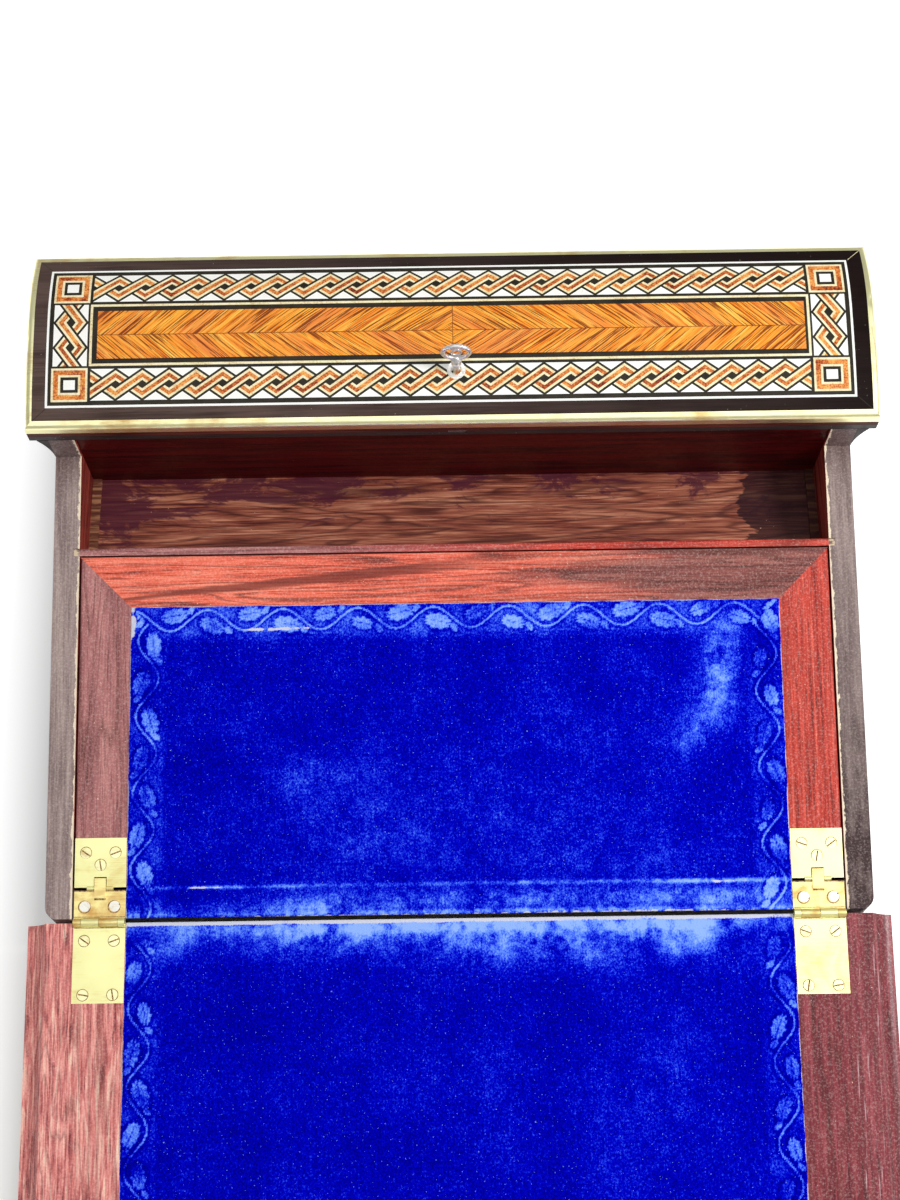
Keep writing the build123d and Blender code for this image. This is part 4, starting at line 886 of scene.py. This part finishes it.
OUT = 0.6
mitres = bmesh.new()
for mirror, low_x, low_y, high_x, high_y, wood in (
    (1, LID_HALF + OUT, LID_HIGH + OUT, 180.6, 80.6, CREAM_WOOD),
    (-1, LID_HALF + OUT, LID_HIGH + OUT, 180.6, 80.6, BLACK_WOOD),
    (1, LID_HALF + OUT, LID_LOW - OUT, 180.6, 3.3, BLACK_WOOD),
    (-1, LID_HALF + OUT, LID_LOW - OUT, 180.6, 3.3, BLACK_WOOD),
):
    run = (mirror * (high_x - low_x), high_y - low_y)
    lay(mitres, tile((mirror * (low_x + high_x) / 2, (low_y + high_y) / 2), run, 0.35, wood))
inlay("rear_lid", mitres, lid_place, LINE_LIFT, 1.5, "lid_mitre_lines", *inlays, black_wood)

# %% [markdown]
# ## The tulipwood field
# Four sheets of striped veneer meet at the middle so that their grain makes diamonds. The flat pattern's
# own coordinates, kept as a UV map, give the distance from the two seams. Stripes are drawn on the sum of
# the two distances, and the seams themselves are thin dark lines.

# %% Tulipwood
SEAM_X = 0.7
TULIP = [(0.36, 214, 100, 12), (0.43, 246, 138, 28), (0.5, 255, 164, 50)]
TULIP += [(0.58, 255, 188, 72), (0.66, 255, 214, 108)]


def tulipwood(name, seam_y):
    """Quartered striped veneer, with its seams at SEAM_X and seam_y on the flat pattern. Millimetres."""
    f = Finish(name, coat_weight=0.04, coat_roughness=0.25)
    sheet = f.add("ShaderNodeUVMap", uv_map="flat")
    seams = {"Vector": sheet, "Scale": (100,) * 3, "Location": (-SEAM_X, -seam_y, 0)}
    flat = f.add("ShaderNodeMapping", seams)
    x, y = flat.axis("X"), flat.axis("Y")
    off_x, off_y = abs(x), abs(y)
    steep = (off_x * (1 / 160.0)).ramp((0.0, 1.0), (0.6, 0.0)) * 0.5 + 1.15
    quarter = (y > 0.0) * 37.0 + (x > 0.0) * 3.1
    along = (off_x * 0.7 - off_y) * 0.035
    vector = f.add("ShaderNodeCombineXYZ", {0: off_y * steep + off_x, 1: along, 2: quarter})
    stripes = f.noise(0.62, 4.0, 0.7, 0.12, at=vector)
    broad = f.noise(0.05, 2.0, 0.5, at=vector)
    thread = f.noise(1.05, 2.0, 0.6, at=vector)
    pores = f.noise(1.0, 2.0, at=f.add("ShaderNodeMapping", {"Vector": flat, "Scale": (1.6,) * 3}))
    warm = broad.ramp((0.44, 0.0), (0.62, 0.6)).mix(stripes.ramp(*TULIP), (236, 132, 70))
    warm = thread.ramp((0.53, 0.0), (0.56, 0.85), (0.68, 0.95)).mix(warm, (118, 42, 2))
    warm = pores.ramp((0.66, 0.0), (0.72, 0.6)).mix(warm, (120, 54, 16))
    warm = off_x.smaller(off_y).ramp((0.1, 0.75), (0.28, 0.0)).mix(warm, (110, 48, 14))
    f.polish(warm, stripes, 0.36, 0.5)
    f.bump(stripes + thread * -0.4, 0.2, 0.04)
    return f


lid_field = rectangle(LID_FIELD, FIELD_LOW, FIELD_HIGH)
inlay("rear_lid", lid_field, lid_place, FIELD_LIFT, 2.0, "lid_field", tulipwood("tulipwood_lid", 41.5))

# %% [markdown]
# ## The outside of the lower flap
# Shut, the flap carries on the lid's surface, so its outside has the same border round a larger field. The
# photograph doesn't show it. Here it is the lid's pattern again, laid on the flap's flat outer face.

# %% Outside of the lower flap
FLAP_LOW, FLAP_HIGH, FLAP_FACE, FIELD_MARGIN = 14.2, 198.6, -26.4, 21.2


def flap_place(x, reach, lift):
    """A point on the open flap's outer face, from the distance to the fold, lifted outwards. Millimetres."""
    return Vector(on_board(FOLD, OPEN_SLOPE, x, -reach, FLAP_FACE - lift))


flap_ground = rectangle(LID_HALF, FLAP_LOW, FLAP_HIGH)
flap_field = rectangle(LID_FIELD, FLAP_LOW + FIELD_MARGIN, FLAP_HIGH - FIELD_MARGIN)
flap_tulipwood = tulipwood("tulipwood_flap", (FLAP_LOW + FLAP_HIGH) / 2)
flap_pattern = border(LID_HALF, FLAP_LOW, FLAP_HIGH, 27, 12, LID_FIELD)
inlay("lower_flap", flap_ground, flap_place, GROUND_LIFT, 0, "flap_black_ground", black_wood)
inlay("lower_flap", flap_pattern, flap_place, TILE_LIFT, 0, "flap_inlay", *inlays)
inlay("lower_flap", flap_field, flap_place, FIELD_LIFT, 0, "flap_field", flap_tulipwood)

# %% [markdown]
# ## Velvet: the embossed border
# The velvet is a flat sheet glued down, with a vine and leaves pressed into its edges by a heated roller.
# The pressed places lie flat, and their sheen is painted as a paler blue; the standing pile beside them is
# painted darkest, as its shade. The sheets are fine grids. For each point the script works out how far it is
# inside the vine or a leaf, lowers it by a fraction of a millimetre, and stores the same measure as an
# attribute that the finish reads.

# %% The vine
HALF_WAVE = 16.4


def smooth(value, low, high):
    """0 below low, 1 above high, and a soft step between them."""
    t = np.clip((value - low) / (high - low), 0.0, 1.0)
    return t * t * (3 - 2 * t)


def oval(u, v, centre, half_length, half_width, tilt, teeth=0.0, rib=False):
    """How far a point lies inside a toothed leaf, from 0 to 1, with a line down its middle."""
    c, s = math.cos(tilt), math.sin(tilt)
    du, dv = u - centre[0], v - centre[1]
    a, b = (du * c + dv * s) / half_length, (-du * s + dv * c) / half_width
    angle = np.arctan2(b, a)
    edge = 1.0 + teeth * np.sin(11 * angle) - 0.08 * np.cos(2 * angle)
    inside = smooth(edge - np.hypot(a, b), -0.06, 0.14)
    vein = 1.0 - 0.55 * (1 - smooth(np.abs(b * half_width), 0.1, 0.4)) if rib else 1.0
    return inside * vein


def vine(u, v, length, centre, swing, first, seed):
    """Pale and dark measures of the border at u along the edge and v in from it. Millimetres."""
    chance = random.Random(seed)
    phase = math.pi * (u - first) / HALF_WAVE
    slope = swing * math.pi / HALF_WAVE * np.sin(phase)
    off = np.abs(v - centre + swing * np.cos(phase)) / np.sqrt(1 + slope**2)
    pale = 0.95 * (1 - smooth(off, 0.25, 0.62))
    dark = 1 - smooth(off, 0.8, 2.2)
    for k in range(-1, int(length / HALF_WAVE) + 2):
        inner = k % 2 == 0
        way = 1 if inner else -1
        deep = centre + (2.0 if inner else -2.2) + chance.uniform(-0.5, 0.5)
        size = chance.uniform(0.85, 1.1)
        tilt = 0.3 * way + chance.uniform(-0.15, 0.15)
        leaf_at = (first + k * HALF_WAVE + 2.0, deep)
        bud_at = (first + (k + 0.55) * HALF_WAVE, centre + way * 4.4)
        leaf = oval(u, v, leaf_at, 6.2 * size, 3.0 * size, tilt, 0.1, True)
        halo = oval(u, v, leaf_at, 7.8 * size, 4.4 * size, tilt)
        bud = oval(u, v, bud_at, 2.5, 1.25, 0.9 * way, 0.05)
        bud_halo = oval(u, v, bud_at, 3.6, 2.2, 0.9 * way)
        pale = np.maximum(pale, np.maximum(0.85 * leaf, 0.8 * bud))
        dark = np.maximum(dark, np.maximum(halo, bud_halo))
    return np.stack([pale, dark])


print("vine drawn with half a wave of", HALF_WAVE, "mm")

# %% [markdown]
# ## Velvet: wear
# Rubbed places are a soft paler blue. They lie in a patch at the upper right, along the fold, along the
# edges and in clouds over the middle. Each is given as a soft oval. Fine noise roughens them in
# the finish. At a few edges the pile is gone and the pale backing shows.

# %% Soft ovals
PILE_HEIGHT, STANDING, PRESSED, BALD, RUBBED_DOWN, SKIRT = 0.06, 0.16, 0.05, 0.12, 0.04, -0.5


def ovals(x, d, table):
    """The sum of soft ovals, each (x, d, half width, half length, tilt in degrees, strength)."""
    total = np.zeros_like(x)
    for px, pd, rx, rd, tilt, strength in table:
        c, s = math.cos(math.radians(tilt)), math.sin(math.radians(tilt))
        a = ((x - px) * c + (d - pd) * s) / rx
        b = (-(x - px) * s + (d - pd) * c) / rd
        total += strength * np.exp(-(a**2 + b**2))
    return total


def cloud(x, d, size, seed):
    """Slow noise over the sheet, for waviness. About -0.5 to 0.5."""
    return np.array([noise.noise(Vector((a / size, b / size, seed))) for a, b in zip(x, d)])


def print_strength(x, d, seed):
    """How well the pressed border has kept, which varies along it."""
    return 0.45 + 1.1 * np.clip(cloud(x, d, 14, seed) + 0.5, 0, 1)


def border_wear(x, d, least):
    """Wear of the pressed border, never less than a given amount."""
    return least + 0.25 * np.clip(cloud(x, d, 9, 12.0), 0, 1)


def cut_edge(x, d, edge, strength):
    """Bare backing along the sheet's cut edge."""
    return (1 - smooth(edge, 0.1, 0.5)) * (strength + 0.6 * cloud(x, d, 8.0, 3.0))


def velvet_sheet(name, half_width, low, high, pitch, surface, measure):
    """A fine grid over a rectangle, pressed, coloured and carried onto its board."""
    columns, rows = int(2 * half_width / pitch), int((high - low) / pitch)
    bm = bmesh.new()
    bmesh.ops.create_grid(bm, x_segments=columns, y_segments=rows, size=0.5)
    rim = [e for e in bm.edges if e.is_boundary]
    skirt = bmesh.ops.extrude_edge_only(bm, edges=rim)["geom"]
    for vert in (g for g in skirt if isinstance(g, bmesh.types.BMVert)):
        vert.co.z = SKIRT
    piece = finish_piece(bm, name)
    mesh = piece.data
    spots = np.empty(len(mesh.vertices) * 3, np.float32)
    mesh.vertices.foreach_get("co", spots)
    spots = spots.reshape(-1, 3).astype(float)
    x, d = spots[:, 0] * 2 * half_width, (low + high) / 2 + spots[:, 1] * (high - low)
    pale, dark, worn, bare = measure(x, d)
    pile = STANDING * dark * (1 - pale) - PRESSED * pale - BALD * bare - RUBBED_DOWN * np.clip(worn, 0, 1)
    height = np.where(spots[:, 2] < 0, SKIRT, PILE_HEIGHT + pile)
    mesh.vertices.foreach_set("co", (surface(x, d, height) * MM).astype(np.float32).ravel())
    for label, values in (("pressed", pale), ("standing", dark), ("worn", worn), ("bare", bare)):
        layer = mesh.attributes.new(label, "FLOAT", "POINT")
        layer.data.foreach_set("value", values.astype(np.float32))
    corner = np.empty(len(mesh.loops), np.int32)
    mesh.loops.foreach_get("vertex_index", corner)
    flat = mesh.uv_layers.new(name="flat")
    flat.data.foreach_set("uv", (np.stack([x, d], 1)[corner] / 100).astype(np.float32).ravel())
    mesh.update()
    print(name, len(mesh.polygons), "faces")
    return piece


print("velvet helpers ready")

# %% [markdown]
# ## The upper velvet
# It covers the upper flap and carries on over the narrow front board, across the flap's joint, as one flat
# sheet. It replaces the two plain sheets of the CAD model.

# %% Upper velvet
VELVET_X, UPPER_TOP = 141.5, 133.81
NEAR_BORDER, PAST_BORDER = 13.5, 17.0
SLOPE_START = Vector((0, -140.0, 58.6))


def on_slope(x, d, height):
    """Points on the slope from x, the distance up it and the height above it."""
    return np.stack(on_board(SLOPE_START, SLOPE, x, d, height), 1)


UPPER_WEAR = [
    (116, 110, 7, 13, -8, 0.36), (111, 92, 10, 13, -16, 0.42), (101, 73, 8, 10, -24, 0.3),
    (-45, 42, 50, 20, 0, 0.1), (45, 58, 46, 26, 0, 0.09), (-62, 58, 20, 12, 20, 0.1),
    (-30, 28, 34, 9, 0, 0.1), (60, 22, 60, 8, 0, 0.12), (-95, 12.5, 30, 0.7, 0, 0.6),
    (40, 12.8, 110, 0.9, 0, 0.3), (110, 12.5, 30, 0.8, 0, 0.5), (60, 6, 80, 5.0, 0, 0.28),
    (-30, 7, 60, 4.0, 0, 0.22), (-70, 3, 50, 2.5, 0, 0.3), (112, 5, 30, 6, 0, 0.24),
    (0, 1.0, 150, 1.0, 0, 0.45), (-75, 127, 60, 6, 0, 0.16), (60, 127, 60, 6, 0, 0.16),
]
UPPER_BARE = [
    (-140.6, 127.0, 1.5, 7.0, 0, 1.3), (-85, 123.2, 9, 0.55, 0, 1.2), (-72, 123.6, 12, 0.5, 0, 1.1),
    (-108, 12.4, 9, 0.4, 0, 1.2), (-60, 0.0, 60, 0.5, 0, 0.6), (70, 0.2, 80, 0.6, 0, 0.8),
    (112, 12.2, 14, 0.45, 0, 1.0),
]


def upper_measure(x, d):
    """Pressed, standing, worn and bare at each point of the upper velvet."""
    left, right, top = x + VELVET_X, VELVET_X - x, UPPER_TOP - d
    left_vine = vine(top, left + 0.02 * top, 136, 8.4, 4.7, 15.0, 3)
    right_vine = vine(top, right, 136, 7.0, 4.7, 24.0, 8)
    top_vine = vine(left, top, 283, 6.2, 4.6, 33.6, 5)
    use_top = (top < left) & (top < right)
    edge = np.minimum(np.minimum(left, right), top)
    near = 1 - smooth(edge, NEAR_BORDER, PAST_BORDER)
    pale, dark = near * np.where(use_top, top_vine, np.where(left <= right, left_vine, right_vine))
    pale = pale * print_strength(x, d, 4.0)
    worn = ovals(x, d, UPPER_WEAR) * (1.0 + 0.9 * cloud(x, d, 11, 8.0) + 0.7 * cloud(x, d, 2.6, 4.4))
    worn += 0.1 * cloud(x, d, 24, 1.0) + 0.07 * cloud(x, d, 7, 2.0) - 0.03
    worn += near * border_wear(x, d, 0.1 + 0.08 * (top < 13))
    bare = ovals(x, d, UPPER_BARE) * (0.7 + cloud(x, d, 3.0, 7.0)) + cut_edge(x, d, edge, 0.55)
    return np.clip(pale, 0, 1), dark, worn, np.clip(bare, 0, 1)


upper_cloth = velvet_sheet("upper_velvet_sheet", VELVET_X, 0.0, UPPER_TOP, 0.62, on_slope, upper_measure)
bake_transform(upper_cloth)
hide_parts("upper_velvet", "front_board_velvet")

# %% [markdown]
# ## The lower velvet
# It lies on the writing face of the lower flap. Its border runs down both sides only, as far as the
# picture shows, and the end near the fold is rubbed pale where hands and paper crossed it.

# %% Lower velvet
LOWER_LOW, LOWER_HIGH, VELVET_DEPTH = 0.2, 160.81, 0.5


def on_flap(x, reach, height):
    """Points on the open lower flap from x, the distance from the fold and the height above the velvet."""
    return np.stack(on_board(FOLD, OPEN_SLOPE, x, -reach, height - VELVET_DEPTH), 1)


def on_flap_turned(x, d, height):
    """The same with d counted from the flap's far end, so that the grid faces up."""
    return on_flap(x, LOWER_LOW + LOWER_HIGH - d, height)


LOWER_WEAR = [
    (0, 3.0, 150, 3.4, 0, 0.62), (-62, 7, 34, 8, 0, 0.42), (30, 8, 60, 8, 0, 0.46),
    (95, 8, 26, 9, 0, 0.42), (-122, 10, 14, 7, -30, 0.3), (20, 16, 14, 10, 0, 0.16),
    (60, 18, 20, 9, 10, 0.14), (-10, 60, 60, 30, 0, 0.05), (70, 95, 40, 30, 0, 0.08),
    (90, 60, 20, 30, 0, 0.08), (-70, 110, 30, 16, 0, 0.06), (80, 130, 22, 8, -30, 0.14),
]


def lower_measure(x, d):
    """The same four measures on the lower velvet."""
    reach = LOWER_LOW + LOWER_HIGH - d
    left, right = x + VELVET_X, VELVET_X - x
    left_vine = vine(reach, left, 161, 6.4, 4.6, 3.0, 11)
    right_vine = vine(reach, right, 161, 6.4, 4.6, 12.0, 14)
    edge = np.minimum(left, right)
    near = (1 - smooth(edge, NEAR_BORDER, PAST_BORDER)) * smooth(reach, 6.0, 12.0)
    pale, dark = near * np.where(left < right, left_vine, right_vine)
    pale = pale * print_strength(x, d, 9.0)
    worn = ovals(x, reach, LOWER_WEAR) * (1.0 + cloud(x, d, 12, 8.0) + 0.6 * cloud(x, d, 2.8, 4.4))
    worn += 0.09 * cloud(x, d, 26, 5.0) + 0.06 * cloud(x, d, 8, 6.0) - 0.06
    worn += near * border_wear(x, d, 0.08)
    bare = (1 - smooth(reach, 0.9, 2.6)) * (0.75 + 0.5 * cloud(x, d, 12.0, 7.0)) + cut_edge(x, d, edge, 0.5)
    return np.clip(pale, 0, 1), dark, worn, np.clip(bare, 0, 1)


lower_extent = (LOWER_LOW, LOWER_HIGH)
lower_cloth = velvet_sheet("lower_velvet_sheet", VELVET_X, *lower_extent, 0.68, on_flap_turned, lower_measure)
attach(lower_cloth, "lower_flap")
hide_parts("lower_velvet")

# %% [markdown]
# ## Velvet: the finish
# Royal blue pile. The colour is chosen along one scale, from deep blue where the pile stands to pale blue
# where it is rubbed or pressed, and the attributes push it up and down that scale. The pale of the pressed
# places is painted sheen, and the dark of the standing pile beside them painted shade. Fine noise, drawn out
# a little along the pile, gives its tufts, and sheen gives the soft light that velvet throws back.

# %% Velvet finish
PILE = [
    (0.1, 0, 0, 138), (0.27, 0, 0, 180), (0.4, 2, 6, 208),
    (0.54, 36, 68, 236), (0.76, 98, 142, 255), (1.0, 146, 182, 255),
]
velvet = Finish("royal_blue_velvet", 0.95, 0.02, sheen_weight=0.12, sheen_roughness=0.45)
velvet.set("Sheen Tint", (0.02, 0.06, 1.0, 1.0))
flat = velvet.add("ShaderNodeUVMap", uv_map="flat")


def flat_noise(across, along, detail=3.0, rough=0.6):
    """Noise on the velvet's flat sheet, stretched across and along it."""
    stretched = velvet.add("ShaderNodeMapping", {"Vector": flat, "Scale": (100 * across, 100 * along, 100)})
    return velvet.noise(1.0, detail, rough, at=stretched)


worn, pressed, standing, bare = (
    velvet.add("ShaderNodeAttribute", out="Fac", attribute_name=label)
    for label in ("worn", "pressed", "standing", "bare")
)
tuft, streak = flat_noise(1.25, 0.95, 2.0, 0.7), flat_noise(0.9, 0.04)
pile = tuft + flat_noise(0.42, 0.3, 3.0, 0.7) * 0.5 - 0.46 + worn * 0.85
# Painted sheen and shade: pressed places are pushed pale, the standing pile beside them darker.
pile = pile + streak * 0.16 - 0.08 + standing * -0.16 + pressed * 0.54
lint = flat_noise(1.3, 1.3, 1.0, 0.5).ramp((0.73, 0.0), (0.765, 0.8))
thin = (tuft * 0.6 + bare - 0.3).ramp((0.3, 0.0), (0.5, 1.0))
velvet.set("Base Color", thin.mix(lint.mix(pile.ramp(*PILE), (140, 170, 255)), (208, 210, 226)))
velvet.bump(tuft + streak * 0.3, 0.7, 0.25)
for cloth in (upper_cloth, lower_cloth):
    cloth.data.materials.append(velvet.material)
print("velvet finished")

# %% [markdown]
# ## Dirt and painted shade round the screws and straps
# Old dirt and painted shade lie in a fine line round every screw head, in its slot and at the end of the
# straps.
# Each line is a thin flat ring, disc or strip just above the leaf or inside the slot, in a dark brown.

# %% Dirt and shade lines
HEAD, HINGE_X, SCREW_X = 2.25, 152.7, 6.3
LINE_HEIGHT, SLOT_DEPTH = 0.03, -0.19
FIXED_ROW, LIFTED_ROW, LIFTED_MIDDLE, FOLDED_ROWS = 4.95, 6.4, 11.6, (7.6, 30.0)

dirt_and_shade = Finish("dirt_and_painted_shade", 0.8)
dirt_and_shade.set("Base Color", dirt_and_shade.noise(1.4).ramp((0.4, 104, 68, 40), (0.6, 196, 158, 104)))
dirt_and_shade.bump(dirt_and_shade.noise(2.0, 2.0), 0.3, 0.05)


def disc(bm, x, d, height, radius, hole=0.0):
    """A flat disc at (x, d), or a ring that is as wide as its hole's inset."""
    made = bmesh.ops.create_circle(bm, cap_ends=True, segments=36, radius=radius)["verts"]
    faces = list({face for v in made for face in v.link_faces})
    if hole:
        bmesh.ops.inset_region(bm, faces=faces, thickness=hole, use_even_offset=True, use_boundary=True)
        made = list({v for face in faces for v in face.verts} | set(made))
        bmesh.ops.delete(bm, geom=faces, context="FACES_ONLY")
    bmesh.ops.translate(bm, verts=made, vec=(x, d, height))


def dirt_and_shade_ring(bm, x, d, wide=0.3, slot=True):
    """A ring round a screw head and, for its slot, a disc at the slot's depth."""
    disc(bm, x, d, LINE_HEIGHT, HEAD + wide, wide)
    if slot:
        disc(bm, x, d, SLOT_DEPTH, HEAD - 0.1)


def strip(bm, x, d, width, depth):
    """A flat strip centred at (x, d)."""
    made = bmesh.ops.create_grid(bm, x_segments=1, y_segments=1, size=0.5)["verts"]
    bmesh.ops.scale(bm, verts=made, vec=(width, depth, 1.0))
    bmesh.ops.translate(bm, verts=made, vec=(x, d, LINE_HEIGHT))


def lay_on(bm, surface, name, body):
    """Carry flat lines of dirt and painted shade, drawn as (x, distance, height), onto a surface."""
    bmesh.ops.delete(bm, geom=[v for v in bm.verts if not v.link_faces], context="VERTS")
    spots = np.array([v.co[:] for v in bm.verts])
    for vert, place in zip(bm.verts, surface(*spots.T)):
        vert.co = place * MM
    bmesh.ops.recalc_face_normals(bm, faces=bm.faces)
    for face in bm.faces:
        if face.normal.z < 0:
            face.normal_flip()
    piece = finish_piece(bm, name, dirt_and_shade, smooth=False)
    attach(piece, body)
    print(name, len(piece.data.polygons), "faces")


leaf_end = (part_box("upper_hinge_leaves")[1].y / MM - SLOPE_START.y) / math.cos(SLOPE)
fixed, lifted, folded = bmesh.new(), bmesh.new(), bmesh.new()
for mirror in (-1, 1):
    middle = mirror * HINGE_X
    for x in (middle - mirror * SCREW_X, middle + mirror * SCREW_X):
        # Painted shadow: on the fixed leaf each ring is wider and set to the left of its head, and its slot
        # is left bare.
        dirt_and_shade_ring(fixed, x - 0.25, FIXED_ROW, 0.5, slot=False)
        dirt_and_shade_ring(lifted, x, leaf_end - LIFTED_ROW)
        for reach in FOLDED_ROWS:
            dirt_and_shade_ring(folded, x, reach)
    dirt_and_shade_ring(lifted, middle, leaf_end - LIFTED_MIDDLE)
    # Painted shade in the gaps: strips at the strap's end and across the leaves' joints.
    for distance, width, depth in ((8.15, 4.9, 0.8), (11.6, 22.0, 0.45), (0.75, 21.6, 0.3)):
        strip(fixed, middle, distance, width, depth)
    strip(folded, middle, 2.2, 21.6, 0.4)
lay_on(fixed, on_slope, "fixed_leaf_dirt_and_shade", "body")
lay_on(lifted, on_slope, "upper_leaf_dirt_and_shade", "upper_flap")
lay_on(folded, on_flap, "lower_leaf_dirt_and_shade", "lower_flap")

# %% [markdown]
# ## The key
# A small nickel key stands in the lock: an oval pierced bow, a turned shank with collars and a bit. The bow
# is a round wire swept in a ring and flattened, the shank is a turned profile, and both start from a few
# points that a full spin carries round.

# %% Key
key_low, key_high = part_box("key")
KEY_X, KEY_Y, KEY_TOP, KEY_FOOT = 2.0, 80.0, key_high.z / MM, key_low.z / MM
COLLAR = KEY_TOP - 11.6
COLLARS = [
    (0.01, 1.6), (1.3, 1.5), (1.5, 0.7), (2.3, 0.4), (2.5, -0.2), (2.2, -0.8),
    (1.6, -1.2), (1.5, -3.2), (2.1, -3.6), (2.1, -4.2), (1.7, -4.6),
]
SHANK = [(radius, COLLAR + up) for radius, up in COLLARS]
SHANK += [(1.7, KEY_FOOT + 0.4), (1.2, KEY_FOOT), (0.01, KEY_FOOT)]
key_bm = bmesh.new()


def spin(chain, axis, centre, steps):
    """Carry verts and their edges once round an axis."""
    edges = list({e for v in chain for e in v.link_edges})
    full = {"angle": math.tau, "steps": steps, "use_merge": True}
    bmesh.ops.spin(key_bm, geom=[*chain, *edges], cent=centre, axis=axis, **full)


def wire_ring(segments, radius, distance, steps):
    """A round wire bent to an upright ring."""
    section = bmesh.ops.create_circle(key_bm, segments=segments, radius=radius)["verts"]
    bmesh.ops.translate(key_bm, verts=section, vec=(distance, 0, 0))
    spin(section, (0, 1, 0), (0, 0, 0), steps)


wire_ring(14, 1.1, 5.65, 44)
bmesh.ops.scale(key_bm, verts=key_bm.verts, vec=(1.0, 0.85, 0.87))
wire_ring(10, 0.55, 2.1, 28)
bmesh.ops.translate(key_bm, verts=key_bm.verts, vec=(KEY_X, KEY_Y, KEY_TOP - 5.9))
chain = [key_bm.verts.new((KEY_X + radius, KEY_Y, z)) for radius, z in SHANK]
for pair in zip(chain, chain[1:]):
    key_bm.edges.new(pair)
spin(chain, (0, 0, 1), (KEY_X, KEY_Y, 0), 32)

bit = bmesh.ops.create_cube(key_bm, size=1.0)["verts"]
bmesh.ops.scale(key_bm, verts=bit, vec=(1.4, 4.6, 5.0))
bmesh.ops.translate(key_bm, verts=bit, vec=(KEY_X, KEY_Y + 3.2, KEY_FOOT + 4.0))
bit_edges = list({e for v in bit for e in v.link_edges})
rounding = {"offset": 0.25, "segments": 2, "profile": 0.5, "affect": "EDGES", "material": -1}
bmesh.ops.bevel(key_bm, geom=[*bit, *bit_edges], **rounding)
bmesh.ops.remove_doubles(key_bm, verts=key_bm.verts, dist=1e-4)
bmesh.ops.recalc_face_normals(key_bm, faces=key_bm.faces)
bmesh.ops.scale(key_bm, verts=key_bm.verts, vec=(MM, MM, MM))
key_piece = finish_piece(key_bm, "nickel_key", nickel)
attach(key_piece, "key")
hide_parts("key")
print("key:", len(key_piece.data.polygons), "faces, top", round(KEY_TOP, 1), "foot", round(KEY_FOOT, 1))
